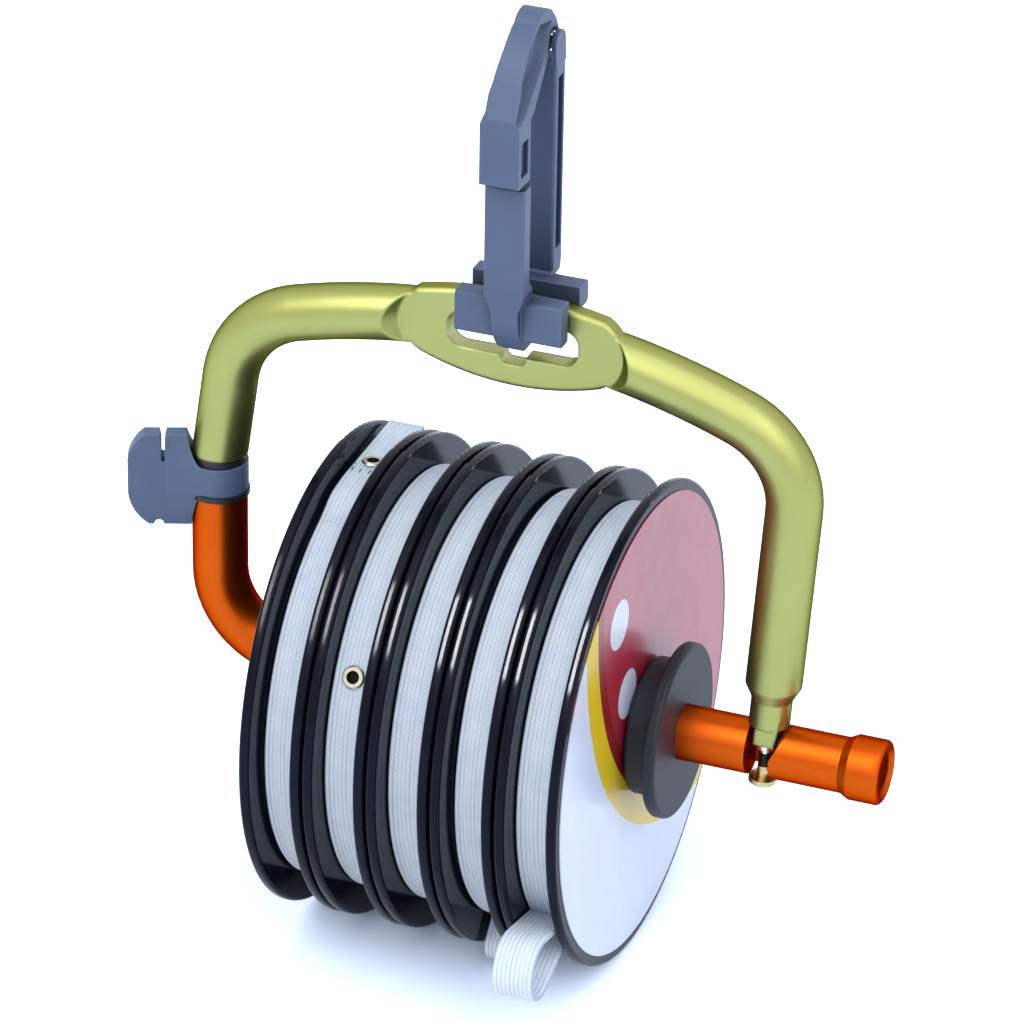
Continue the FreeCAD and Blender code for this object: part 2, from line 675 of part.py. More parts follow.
# Latch end: the leg is turned down to a neck, and a tongue on it fills the slot of the bar.
neck = new_sketch(upper_arm, "latch_neck", "XZ", right="latch_x", turn_axis=(0, 0, 1), turn="-right_lean")
draw_outline(neck, [
    ("0", "latch_neck_low"),
    ("latch_neck_diameter / 2", "latch_neck_low"),
    ("latch_neck_diameter / 2", "latch_neck_top"),
    ("rod_diameter / 2", "latch_shoulder"),
    ("0", "latch_shoulder"),
])
spin(upper_arm, "latch_neck_turning", neck, "V_Axis")
tongue = new_sketch(upper_arm, "latch_tongue", "XZ", away="tongue_front", right="latch_x",
                    turn_axis=(0, 0, 1), turn="-right_lean")
draw_outline(tongue, [
    ("-tongue_left", "tongue_tip"),
    ("tongue_right_tip", "tongue_tip"),
    ("tongue_right_top", "tongue_top"),
    ("-tongue_left", "tongue_top"),
])
extrude(upper_arm, "latch_tongue_pad", tongue, "tongue_front + tongue_back", back=True)
stud_bore = new_sketch(upper_arm, "stud_bore", "XZ", right="latch_x", turn_axis=(0, 0, 1), turn="-right_lean")
draw_outline(stud_bore, [
    ("0", "0"),
    ("stud_diameter / 2", "0"),
    ("stud_diameter / 2", "tongue_tip + stud_in_arm"),
    ("0", "tongue_tip + stud_in_arm"),
])
spin(upper_arm, "stud_boring", stud_bore, "V_Axis", cut=True)

# Latch stud: pressed up into the tongue, with a collar at the tip and a flat head that
# hooks under the bar.
latch_stud = new_body("latch_stud", ("latch_x", "0", "0"), (0, 1, 0), "right_lean")
stud_profile = new_sketch(latch_stud, "stud_profile", "XZ")
draw_outline(stud_profile, [
    ("0", "-stud_head_low"),
    ("stud_head_diameter / 2 - stud_head_edge", "-stud_head_low"),
    ("stud_head_diameter / 2", "-stud_head_low + stud_head_edge"),
    ("stud_head_diameter / 2", "-stud_head_top"),
    ("stud_diameter / 2", "-stud_head_top"),
    ("stud_diameter / 2", "stud_collar_low"),
    ("stud_collar_diameter / 2", "stud_collar_low"),
    ("stud_collar_diameter / 2", "stud_collar_top"),
    ("stud_diameter / 2", "stud_collar_top"),
    ("stud_diameter / 2", "tongue_tip + stud_in_arm"),
    ("0", "tongue_tip + stud_in_arm"),
])
spin(latch_stud, "stud_turning", stud_profile, "V_Axis")

# Pivot stack: pin, snap ring and two washers about the leg axis.
upright_part("pivot_pin", [
    ("0", "rod_leg_top - pin_in_leg"),
    ("pin_diameter / 2", "rod_leg_top - pin_in_leg"),
    ("pin_diameter / 2", ring_low),
    ("ring_groove_diameter / 2", ring_low),
    ("ring_groove_diameter / 2", ring_top),
    ("pin_diameter / 2", ring_top),
    ("pin_diameter / 2", pin_top + " - pin_chamfer"),
    ("pin_diameter / 2 - pin_chamfer", pin_top),
    ("0", pin_top),
])
snap_ring = upright_part("snap_ring", [
    ("ring_groove_diameter / 2", "0"),
    ("ring_outer_diameter / 2", "0"),
    ("ring_outer_diameter / 2", "ring_thickness"),
    ("ring_groove_diameter / 2", "ring_thickness"),
], at=("0", "0", ring_low))
ring_opening = new_sketch(snap_ring, "ring_opening", "XY")
draw_box(ring_opening, "0", "-ring_gap / 2", "ring_outer_diameter", "ring_gap / 2")
extrude(snap_ring, "ring_opening_cut", ring_opening, "2 * ring_thickness", cut=True, both=True)
upright_part("lower_washer", [
    ("pin_diameter / 2 + pin_running_clearance", "0"),
    ("lower_washer_diameter / 2", "0"),
    ("lower_washer_diameter / 2", "lower_washer_thickness"),
    ("pin_diameter / 2 + pin_running_clearance", "lower_washer_thickness"),
], at=("0", "0", "rod_leg_top"))
upright_part("upper_washer", [
    ("pin_diameter / 2 + pin_running_clearance", "0"),
    ("upper_washer_diameter / 2", "0"),
    ("upper_washer_diameter / 2", "upper_washer_thickness"),
    ("pin_diameter / 2 + pin_running_clearance", "upper_washer_thickness"),
], at=("0", "0", "arm_foot_z - upper_washer_thickness"))

# Nipper body: a collar on the pivot with a flared paddle. Its X axis points out along
# the paddle.
collar_low = "rod_leg_top + lower_washer_thickness + stack_clearance"
nipper = new_body("cutter_body", ("0", "0", "0"), (0, 0, 1), "nipper_turn")
paddle = new_sketch(nipper, "paddle", "XZ")
draw_outline(paddle, [
    ("paddle_root", "paddle_low_z"),
    ("paddle_low_corner_r", "paddle_low_z", "paddle_low_round", RIGHT),
    ("paddle_reach", "paddle_side_low_z"),
    ("paddle_reach", "paddle_side_top_z", "paddle_top_round", RIGHT),
    ("paddle_top_corner_r", "paddle_top_z"),
    ("paddle_root", "paddle_top_z"),
])
extrude(nipper, "paddle_plate", paddle, "paddle_thickness", both=True)
flare_sections = []
for name, height, root, half, tip in (
        ("low", "paddle_low_z", "flare_fade_root_r", "flare_fade_root_half", "flare_fade_tip_r"),
        ("collar_low", collar_low, "flare_root_r", "flare_root_half", "flare_tip_r"),
        ("collar_top", "nipper_collar_top", "flare_root_r", "flare_root_half", "flare_tip_r"),
        ("top", "paddle_top_z", "flare_fade_root_r", "flare_fade_root_half", "flare_fade_tip_r")):
    section = new_sketch(nipper, "flare_" + name, "XY", away=height)
    draw_outline(section, [
        (root, "-" + half),
        (tip, "-paddle_thickness / 2"),
        (tip, "paddle_thickness / 2"),
        (root, half),
    ])
    flare_sections.append(section)
loft(nipper, "paddle_flare", flare_sections, ruled=True)
leg_room = new_sketch(nipper, "leg_room", "XZ")
washer_room = "(lower_washer_diameter / 2 + washer_clearance)"
draw_outline(leg_room, [
    ("0", "nipper_collar_top"),
    ("leg_room_mid", "nipper_collar_top"),
    ("leg_room_top", "paddle_top_z"),
    ("leg_room_top", "paddle_top_z + cut_overrun"),
    ("0", "paddle_top_z + cut_overrun"),
])
draw_outline(leg_room, [
    ("0", "paddle_low_z - cut_overrun"),
    ("leg_room_low", "paddle_low_z - cut_overrun"),
    ("leg_room_low", collar_low + " - washer_clearance_drop"),
    (washer_room, collar_low + " - washer_clearance_drop"),
    (washer_room, collar_low),
    ("0", collar_low),
])
spin(nipper, "leg_room_turning", leg_room, "V_Axis", cut=True)
collar = new_sketch(nipper, "collar", "XY", away=collar_low)
draw_circle(collar, "0", "0", "nipper_collar_diameter / 2")
extrude(nipper, "collar_pad", collar, "nipper_collar_top - (%s)" % collar_low)
collar_bore = new_sketch(nipper, "collar_bore", "XY", away="nipper_collar_top")
draw_circle(collar_bore, "0", "0", bore_radius)
extrude(nipper, "collar_boring", collar_bore, "nipper_collar_top - (%s)" % collar_low, cut=True)
line_slit = new_sketch(nipper, "line_slit", "XZ")
draw_outline(line_slit, [
    ("line_slit_r", "line_slit_floor_z"),
    ("line_slit_r + line_slit_width", "line_slit_floor_z"),
    ("line_slit_r + line_slit_width", "line_mouth_low_z"),
    ("line_slit_r + line_slit_width + line_mouth_spread", "paddle_top_z + cut_overrun"),
    ("line_slit_r - line_mouth_spread", "paddle_top_z + cut_overrun"),
    ("line_slit_r", "line_mouth_low_z"),
])
extrude(nipper, "line_slit_cut", line_slit, "2 * paddle_thickness", cut=True, both=True)
thumb_notch = new_sketch(nipper, "thumb_notch", "XZ")
draw_circle(thumb_notch, "thumb_notch_r", "paddle_low_z", "thumb_notch_radius")
extrude(nipper, "thumb_notch_cut", thumb_notch, "2 * paddle_thickness", cut=True, both=True)
blade_corners = [
    ("blade_left_r", "blade_low_z"),
    ("blade_right_r", "blade_low_z"),
    ("blade_right_r", "blade_right_edge_z"),
    ("blade_left_r", "blade_left_edge_z"),
]
blade_seat = new_sketch(nipper, "blade_seat", "XZ")
draw_outline(blade_seat, blade_corners)
extrude(nipper, "blade_seat_cut", blade_seat, "blade_thickness", cut=True, both=True)

# Nipper blade: a small steel plate across the slit, set in the middle of the paddle.
blade = new_body("cutter_blade", ("0", "0", "0"), (0, 0, 1), "nipper_turn")
blade_outline = new_sketch(blade, "blade_outline", "XZ")
draw_outline(blade_outline, blade_corners)
extrude(blade, "blade_plate", blade_outline, "blade_thickness", both=True)

# Spools: one moulding each, with a winding of line under an elastic band. The eyelet
# in the band lets the line out.
drum_radius = "(spool_diameter / 2 - channel_depth)"
winding_radius = "(spool_diameter / 2 - channel_depth + winding_depth)"
band_radius = "(spool_diameter / 2 - channel_depth + winding_depth + band_thickness)"
band_width = "spool_width - 2 * cheek_thickness - 2 * band_side_gap"


def add_tail(band, turn):
    """Lay the band's loose end over itself and let it leave straight, off the top."""
    tail = new_sketch(band, "tail", "YZ", away="spool_width / 2", turn_axis=(0, 0, 1),
                      turn="tail_turn - (%s)" % turn)
    outside = "(%s + ribbon)" % band_radius
    draw_outline(tail, [
        ("0", band_radius + " - ribbon_bite"),
        ("tail_reach", band_radius + " - ribbon_bite + tail_rise"),
        ("tail_reach", outside + " - ribbon_bite + tail_rise"),
        ("0", outside, outside, RIGHT),
        ("-tail_lap", "sqrt(%s ^ 2 - tail_lap ^ 2)" % outside),
        ("-tail_lap", "sqrt(%s ^ 2 - tail_lap ^ 2) - ribbon_bite" % band_radius),
    ])
    extrude(band, "tail_pad", tail, band_width, both=True)


def add_loop(band, word, turn):
    """Stand the band's sewn pull loop out of the channel: a drop-shaped turn of ribbon that may lean."""
    round_band = "(loop_turn_%s - (%s))" % (word, turn)
    loop = new_sketch(band, "loop", "YZ", away="spool_width / 2",
                      right="-%s * sin(%s * 1deg)" % (band_radius, round_band),
                      up="%s * cos(%s * 1deg)" % (band_radius, round_band),
                      turn_axis=(0, 0, 1), turn="%s + loop_lean_%s" % (round_band, word))
    centre = "loop_stand_" + word
    root = "-loop_root_bite"
    for inset in ("0", "ribbon"):
        radius = "(loop_radius_%s - %s)" % (word, inset)
        neck = "(loop_neck_%s - %s)" % (word, inset)
        low = root + " + " + inset
        shoulder = radius + " * cos(loop_shoulder_angle * 1deg)"
        shoulder_up = "%s - %s * sin(loop_shoulder_angle * 1deg)" % (centre, radius)
        draw_outline(loop, [
            ("-" + neck, low),
            (neck, low),
            (shoulder, shoulder_up, radius, RIGHT),
            ("0", "%s + %s" % (centre, radius), radius, RIGHT),
            ("-" + shoulder, shoulder_up),
        ])
    extrude(band, "loop_pad", loop, band_width, both=True)


for index, word in enumerate(("one", "two", "three", "four", "five")):
    number = index + 1
    spool_place = ("first_spool_x + %d * spool_pitch" % index, "0", "0")
    channel_end = "(spool_width - cheek_thickness)"
    rim = "(spool_diameter / 2 - cheek_rim_round)"
    turned_part("spool_%d" % number, spool_place, [
        ("0", "spool_bore / 2"),
        ("spool_width", "spool_bore / 2"),
        ("spool_width", rim, "cheek_rim_round", RIGHT),
        ("spool_width - cheek_rim_round", "spool_diameter / 2"),
        (channel_end + " + cheek_rim_round", "spool_diameter / 2", "cheek_rim_round", RIGHT),
        (channel_end, rim),
        (channel_end, drum_radius),
        ("cheek_thickness", drum_radius),
        ("cheek_thickness", rim, "cheek_rim_round", RIGHT),
        ("cheek_thickness - cheek_rim_round", "spool_diameter / 2"),
        ("cheek_rim_round", "spool_diameter / 2", "cheek_rim_round", RIGHT),
        ("0", rim),
    ])
    turned_part("line_%d" % number, spool_place, [
        ("cheek_thickness + winding_side_gap", drum_radius),
        (channel_end + " - winding_side_gap", drum_radius),
        (channel_end + " - winding_side_gap", winding_radius),
        ("cheek_thickness + winding_side_gap", winding_radius),
    ])
    turn = "eyelet_turn_" + word
    band = turned_part("band_%d" % number, spool_place, [
        ("cheek_thickness + band_side_gap", winding_radius),
        (channel_end + " - band_side_gap", winding_radius),
        (channel_end + " - band_side_gap", band_radius),
        ("cheek_thickness + band_side_gap", band_radius),
    ], (1, 0, 0), turn)
    eyelet_lift = "0"
    if word == "one":
        add_tail(band, turn)
        eyelet_lift = "ribbon"
    if word in ("four", "five"):
        add_loop(band, word, turn)
    eyelet_foot = "(%s + %s)" % (band_radius, eyelet_lift)
    eyelet_seat = new_sketch(band, "eyelet_seat", "XY", away=eyelet_foot + " + cut_overrun")
    draw_circle(eyelet_seat, "spool_width / 2", "0", "eyelet_barrel_diameter / 2")
    extrude(band, "eyelet_seat_cut", eyelet_seat, "%s - %s + 2 * cut_overrun" % (eyelet_foot, winding_radius),
            cut=True)
    eyelet = new_body("eyelet_%d" % number, spool_place, (1, 0, 0), turn)
    eyelet_profile = new_sketch(eyelet, "eyelet_profile", "XZ", right="spool_width / 2", up=eyelet_foot)
    draw_outline(eyelet_profile, [
        ("eyelet_hole_diameter / 2", "-eyelet_depth"),
        ("eyelet_barrel_diameter / 2", "-eyelet_depth"),
        ("eyelet_barrel_diameter / 2", "0"),
        ("eyelet_rim_diameter / 2", "0"),
        ("eyelet_rim_diameter / 2", "eyelet_rim_height / 2"),
        ("eyelet_rim_diameter / 2 - eyelet_rim_height / 2", "eyelet_rim_height"),
        ("eyelet_hole_diameter / 2", "eyelet_rim_height"),
    ])
    spin(eyelet, "eyelet_turning", eyelet_profile, "V_Axis")

# Paper label on the outer cheek of the last spool.
turned_part("label_5", ("first_spool_x + 4 * spool_pitch + spool_width", "0", "0"), [
    ("0", "label_hole / 2"),
    ("label_thickness", "label_hole / 2"),
    ("label_thickness", "spool_diameter / 2 - label_margin"),
    ("0", "spool_diameter / 2 - label_margin"),
])

# Stop: a grippy boss and flange that slides on the bar and holds the spools.
stop_bore = "(rod_diameter / 2 + stop_running_clearance)"
stop_place = ("first_spool_x + 4 * spool_pitch + spool_width + stop_gap", "0", "0")
turned_part("spool_stop", stop_place, [
    ("0", stop_bore),
    ("stop_length", stop_bore),
    ("stop_length", "stop_flange_diameter / 2 - stop_round", "stop_round", RIGHT),
    ("stop_length - stop_round", "stop_flange_diameter / 2"),
    ("stop_boss_length + stop_round", "stop_flange_diameter / 2", "stop_round", RIGHT),
    ("stop_boss_length", "stop_flange_diameter / 2 - stop_round"),
    ("stop_boss_length", "stop_boss_diameter / 2"),
    ("stop_round", "stop_boss_diameter / 2", "stop_round", RIGHT),
    ("0", "stop_boss_diameter / 2 - stop_round"),
])

# Clip body: a tall hook. Its stem loops under the top edge of the eye, two crossbars
# straddle the eye, and its rear arm carries the hinge of the gate.
clip_body = new_body("clip_body", ("clip_x", "0", "0"))
hook = new_sketch(clip_body, "clip_hook", "YZ")
draw_outline(hook, [
    ("-front_arm_outer_y", "front_arm_top_z"),
    ("-front_arm_outer_y", "stem_shoulder_z"),
    ("-stem_front_y", "stem_side_z", "stem_outer_round", RIGHT),
    ("-stem_bottom_half", "stem_bottom_z"),
    ("stem_bottom_half", "stem_bottom_z", "stem_outer_round", RIGHT),
    ("stem_rear_y", "stem_side_z"),
    ("rear_arm_outer_y", "stem_shoulder_z"),
    ("rear_arm_outer_y", "rear_arm_top_z"),
    ("rear_arm_inner_y", "rear_arm_top_z"),
    ("rear_arm_inner_y", "rear_shoulder_z"),
    ("loop_half_gap", "rear_waist_z"),
    ("loop_half_gap", "loop_floor_z + loop_corner", "loop_corner", LEFT),
    ("loop_half_gap - loop_corner", "loop_floor_z"),
    ("-loop_half_gap + loop_corner", "loop_floor_z", "loop_corner", LEFT),
    ("-loop_half_gap", "loop_floor_z + loop_corner"),
    ("-loop_half_gap", "stem_waist_z"),
    ("-front_arm_inner_y", "stem_shoulder_z"),
    ("-front_arm_inner_y", "front_arm_top_z"),
])
extrude(clip_body, "clip_hook_pad", hook, "clip_arm_width", both=True)


def on_hook_side(edge):
    """Tell whether an edge runs up a side face of the hook, and isn't at a tip of its arms."""
    middle = edge.valueAt((edge.FirstParameter + edge.LastParameter) / 2)
    return abs(middle.x) > amount_of("clip_stem_width") / 2 and edge.Length > amount_of("arm_edge_long")


round_edges(clip_body, "arm_rounding", "arm_edge_round", on_hook_side)
for side, frontward in (("front", True), ("rear", False)):
    narrowing = new_sketch(clip_body, side + "_narrowing", "XZ")
    for sign in ("", "-"):
        draw_outline(narrowing, [
            (sign + "(clip_stem_width / 2 - stem_edge_chamfer)", "stem_bottom_z"),
            (sign + "(clip_stem_width / 2)", "stem_bottom_z + stem_edge_chamfer"),
            (sign + "(clip_stem_width / 2)", side + "_narrowing_low_z"),
            (sign + "(clip_arm_width / 2)", side + "_narrowing_top_z"),
            (sign + "(clip_arm_width / 2 + cut_overrun)", side + "_narrowing_top_z"),
            (sign + "(clip_arm_width / 2 + cut_overrun)", "stem_bottom_z - cut_overrun"),
            (sign + "(clip_stem_width / 2 - stem_edge_chamfer)", "stem_bottom_z - cut_overrun"),
        ])
    extrude(clip_body, side + "_narrowing_cut", narrowing, "2 * rear_arm_outer_y", cut=True, back=frontward)
for side, outer, inner, way, bend_side in (
        ("front", "-front_bar_front_y", "-loop_half_gap", " + ", LEFT),
        ("rear", "rear_bar_back_y", "loop_half_gap", " - ", RIGHT)):
    low = side + "_bar_low_z"
    top = side + "_bar_top_z"
    crossbar = new_sketch(clip_body, side + "_crossbar", "YZ")
    draw_outline(crossbar, [
        (inner, low),
        (outer + way + "crossbar_round", low, "crossbar_round", bend_side),
        (outer, low + " + crossbar_round"),
        (outer, top + " - crossbar_round", "crossbar_round", bend_side),
        (outer + way + "crossbar_round", top),
        (inner, top),
    ])
    extrude(clip_body, side + "_crossbar_pad", crossbar, "2 * %s_bar_half_length" % side, both=True)
nose = new_sketch(clip_body, "nose", "YZ")
draw_outline(nose, [
    ("-nose_front_y", "front_arm_top_z"),
    ("-nose_back_y", "front_arm_top_z"),
    ("-nose_back_y", "nose_top_z - lug_slope"),
    ("-nose_back_y - lug_slope", "nose_top_z"),
    ("-nose_front_y", "nose_top_z"),
])
extrude(clip_body, "nose_pad", nose, "2 * nose_half_width", both=True)
channel = new_sketch(clip_body, "rear_channel", "YZ", away="clip_arm_width / 2")
draw_box(channel, "rear_arm_inner_y + rear_channel_inset", "rear_channel_low_z",
         "rear_arm_outer_y - rear_channel_inset", "rear_channel_top_z")
extrude(clip_body, "rear_channel_cut", channel, "rear_channel_depth", cut=True)
cheeks = new_sketch(clip_body, "hinge_cheeks", "YZ")
draw_outline(cheeks, [
    ("rear_arm_inner_y", "rear_arm_top_z - lug_slope"),
    ("rear_arm_outer_y", "rear_arm_top_z - lug_slope"),
    ("knuckle_y + knuckle_radius", "knuckle_z", "knuckle_radius * 1.001", RIGHT),
    ("knuckle_y", "knuckle_z + knuckle_radius", "knuckle_radius * 1.001", RIGHT),
    ("knuckle_y - knuckle_radius", "knuckle_z"),
])
extrude(clip_body, "hinge_cheeks_pad", cheeks, "clip_arm_width", both=True)
fork = new_sketch(clip_body, "hinge_fork", "YZ")
draw_box(fork, "rear_arm_inner_y - rod_diameter", "rear_arm_top_z",
         "rear_arm_outer_y + rod_diameter", "knuckle_z + 2 * knuckle_radius")
extrude(clip_body, "hinge_fork_cut", fork, "2 * (tail_half_width + gate_play)", cut=True, both=True)
hinge_bore = new_sketch(clip_body, "hinge_bore", "YZ")
draw_circle(hinge_bore, "knuckle_y", "knuckle_z", "hinge_pin_diameter / 2")
extrude(clip_body, "hinge_boring", hinge_bore, "2 * clip_arm_width", cut=True, both=True)

# Gate: slopes up from the block that covers the nose, over the top, to the hinge. Its
# sides are cored out, and a window in the block shows the nose.
gate = new_body("clip_gate", ("clip_x", "0", "0"))
bow = new_sketch(gate, "gate_bow", "YZ")
draw_outline(bow, [
    ("-block_back_y", "block_top_z - lug_slope"),
    ("-gate_inner_low_y", "gate_inner_low_z"),
    ("gate_inner_top_y", "gate_inner_top_z"),
    ("gate_heel_y", "gate_heel_z"),
    ("gate_rear_y", "gate_heel_z"),
    ("gate_rear_y", "gate_rear_z", "gate_rear_round", RIGHT),
    ("gate_crown_right_y", "gate_crown_right_z", "gate_top_round", RIGHT),
    ("gate_crown_left_y", "gate_crown_left_z", "gate_left_round", RIGHT),
    ("-gate_slope_top_y", "gate_slope_top_z"),
    ("-block_front_y", "block_top_z"),
    ("-block_front_y", "block_top_z - lug_slope"),
])
extrude(gate, "gate_bow_pad", bow, "block_width", both=True)
taper = new_sketch(gate, "gate_taper", "XZ")
for sign in ("", "-"):
    draw_outline(taper, [
        (sign + "block_width / 2", "gate_taper_low_z"),
        (sign + "block_width", "gate_taper_low_z"),
        (sign + "block_width", "gate_taper_top_z + block_width"),
        (sign + "gate_crown_width / 2", "gate_taper_top_z + block_width"),
        (sign + "gate_crown_width / 2", "gate_taper_top_z"),
        (sign + "gate_middle_width / 2", "gate_taper_middle_z"),
    ])
extrude(gate, "gate_taper_cut", taper, "4 * block_front_y", cut=True, both=True)

knuckle = new_sketch(gate, "gate_knuckle", "YZ")
draw_circle(knuckle, "knuckle_y", "knuckle_z", "knuckle_radius")
extrude(gate, "gate_knuckle_pad", knuckle, "2 * tail_half_width", both=True)
block = new_sketch(gate, "gate_block", "YZ")
draw_box(block, "-block_front_y", "block_low_z", "-block_back_y", "block_top_z")
extrude(gate, "gate_block_pad", block, "block_width", both=True)
socket = new_sketch(gate, "nose_socket", "YZ")
draw_box(socket, "-nose_front_y - nose_clearance", "block_low_z - cut_overrun",
         "-block_back_y + cut_overrun", "nose_top_z + nose_clearance")
extrude(gate, "nose_socket_cut", socket, "2 * (nose_half_width + nose_clearance)", cut=True, both=True)
window = new_sketch(gate, "block_window", "YZ", away="block_width / 2")
draw_box(window, "-window_front_y", "window_low_z", "-window_back_y", "window_top_z")
extrude(gate, "block_window_cut", window, "block_width / 2", cut=True)
for side, away, back in (("right", "gate_pocket_floor", True), ("left", "-gate_pocket_floor", False)):
    pocket = new_sketch(gate, "side_pocket_" + side, "YZ", away=away)
    draw_outline(pocket, [
        ("-pocket_low_y", "pocket_low_z"),
        ("pocket_heel_y", "pocket_heel_z"),
        ("pocket_right_y", "pocket_right_z"),
        ("pocket_top_y", "pocket_top_z"),
        ("-pocket_left_y", "pocket_left_z"),
        ("-pocket_middle_y", "pocket_middle_z"),
    ])
    cored = extrude(gate, "side_pocket_cut_" + side, pocket, "block_width", cut=True, back=back)
    cored.setExpression("TaperAngle", sized("gate_pocket_draft"))
room_radius = "(knuckle_radius + knuckle_play)"
for side, away, back in (
        ("right", "tail_half_width - spring_room", True), ("left", "-tail_half_width", False)):
    room = new_sketch(gate, "cheek_room_" + side, "YZ", away=away)
    draw_circle(room, "knuckle_y", "knuckle_z", room_radius)
    extrude(gate, "cheek_room_cut_" + side, room, "block_width", cut=True, back=back)
pin_hole = new_sketch(gate, "pin_hole", "YZ")
draw_circle(pin_hole, "knuckle_y", "knuckle_z", "hinge_pin_diameter / 2 + hinge_clearance")
extrude(gate, "pin_hole_cut", pin_hole, "2 * block_width", cut=True, both=True)

# Hinge pin, pressed in both cheeks of the rear arm, and the coil that closes the gate.
hinge_pin = new_body("clip_hinge_pin", ("clip_x", "knuckle_y", "knuckle_z"))
hinge_section = new_sketch(hinge_pin, "hinge_section", "YZ")
draw_circle(hinge_section, "0", "0", "hinge_pin_diameter / 2")
extrude(hinge_pin, "hinge_pin_pad", hinge_section, "clip_arm_width", both=True)
spring_start = "clip_x + tail_half_width - spring_room + spring_side_gap + spring_wire / 2"
gate_spring = new_body("gate_spring", (spring_start, "knuckle_y", "knuckle_z"))
wire_section = new_sketch(gate_spring, "wire_section", "XY")
draw_circle(wire_section, "0", "spring_coil_radius", "spring_wire / 2")
coil = gate_spring.newObject("PartDesign::AdditiveHelix", "gate_coil")
coil.Profile = wire_section
coil.ReferenceAxis = (wire_section, ["H_Axis"])
coil.Mode = "height-turns-angle"
coil.setExpression("Height", sized("spring_room - 2 * spring_side_gap - spring_wire"))
coil.setExpression("Turns", sized("spring_turns"))

document.recompute()

parts = [item for item in document.Objects if item.TypeId == "PartDesign::Body"]
for item in document.Objects:
    if "Invalid" in item.State or "Error" in item.State:
        raise RuntimeError("%s did not build: %s" % (item.Label, item.State))
    if item.TypeId in ("PartDesign::Pocket", "PartDesign::Groove"):
        if item.Shape.Volume > item.BaseFeature.Shape.Volume - 0.001:
            raise RuntimeError("%s takes nothing away" % item.Label)
os.makedirs("parts", exist_ok=True)
for item in parts:
    if item.Shape.isNull() or not item.Shape.isValid() or len(item.Shape.Solids) != 1:
        raise RuntimeError("%s has no sound solid" % item.Label)
    item.Shape.exportStep("parts/%s.step" % item.Label)
    print(item.Label, round(item.Shape.Volume, 2))
print(len(parts), "parts")
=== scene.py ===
import math

import bmesh
import bpy
from mathutils import Matrix, Vector


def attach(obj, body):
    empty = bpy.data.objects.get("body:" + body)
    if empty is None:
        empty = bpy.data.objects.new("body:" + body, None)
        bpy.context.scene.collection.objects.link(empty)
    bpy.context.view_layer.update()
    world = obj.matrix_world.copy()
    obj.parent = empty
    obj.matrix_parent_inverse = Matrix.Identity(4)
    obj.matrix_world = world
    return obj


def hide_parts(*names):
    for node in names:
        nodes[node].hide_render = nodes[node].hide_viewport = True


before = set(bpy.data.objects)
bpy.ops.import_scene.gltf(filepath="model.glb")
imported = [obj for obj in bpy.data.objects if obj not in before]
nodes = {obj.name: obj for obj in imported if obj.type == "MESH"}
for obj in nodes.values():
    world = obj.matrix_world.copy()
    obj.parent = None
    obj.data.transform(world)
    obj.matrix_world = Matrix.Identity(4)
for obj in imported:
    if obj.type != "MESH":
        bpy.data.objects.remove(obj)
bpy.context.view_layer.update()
MM = 0.001


# Spool bar: a drawn aluminium rod, 6.85 mm thick, bent through a right angle. It is bead
# blasted and dyed orange in the anodising bath before the cap is pressed on its end.
def linear(shade):
    """Turn an sRGB hex colour into the linear colour that a shader takes."""
    parts = [int(shade[start:start + 2], 16) / 255 for start in (1, 3, 5)]
    return [part / 12.92 if part <= 0.04045 else ((part + 0.055) / 1.055) ** 2.4
            for part in parts] + [1]


def add(tree, kind, inputs, **settings):
    """Add one node with its settings, and give each input a value or a link."""
    made = tree.nodes.new(kind)
    for name, value in settings.items():
        setattr(made, name, value)
    for key, value in inputs.items():
        if isinstance(value, bpy.types.NodeSocket):
            tree.links.new(value, made.inputs[key])
        else:
            made.inputs[key].default_value = value
    return made


def new_material(name, **sockets):
    """Start a material: its nodes, its shader with plain values, and the place of a point."""
    made = bpy.data.materials.new(name)
    made.use_nodes = True
    shader = made.node_tree.nodes["Principled BSDF"]
    for key, value in sockets.items():
        shader.inputs[key.replace("_", " ")].default_value = value
    place = add(made.node_tree, "ShaderNodeTexCoord", {}).outputs["Object"]
    return made, made.node_tree, shader, place


def dress(material, *names):
    """Give nodes of the frame their finish."""
    for name in names:
        for slot in nodes[name].material_slots:
            slot.material = material


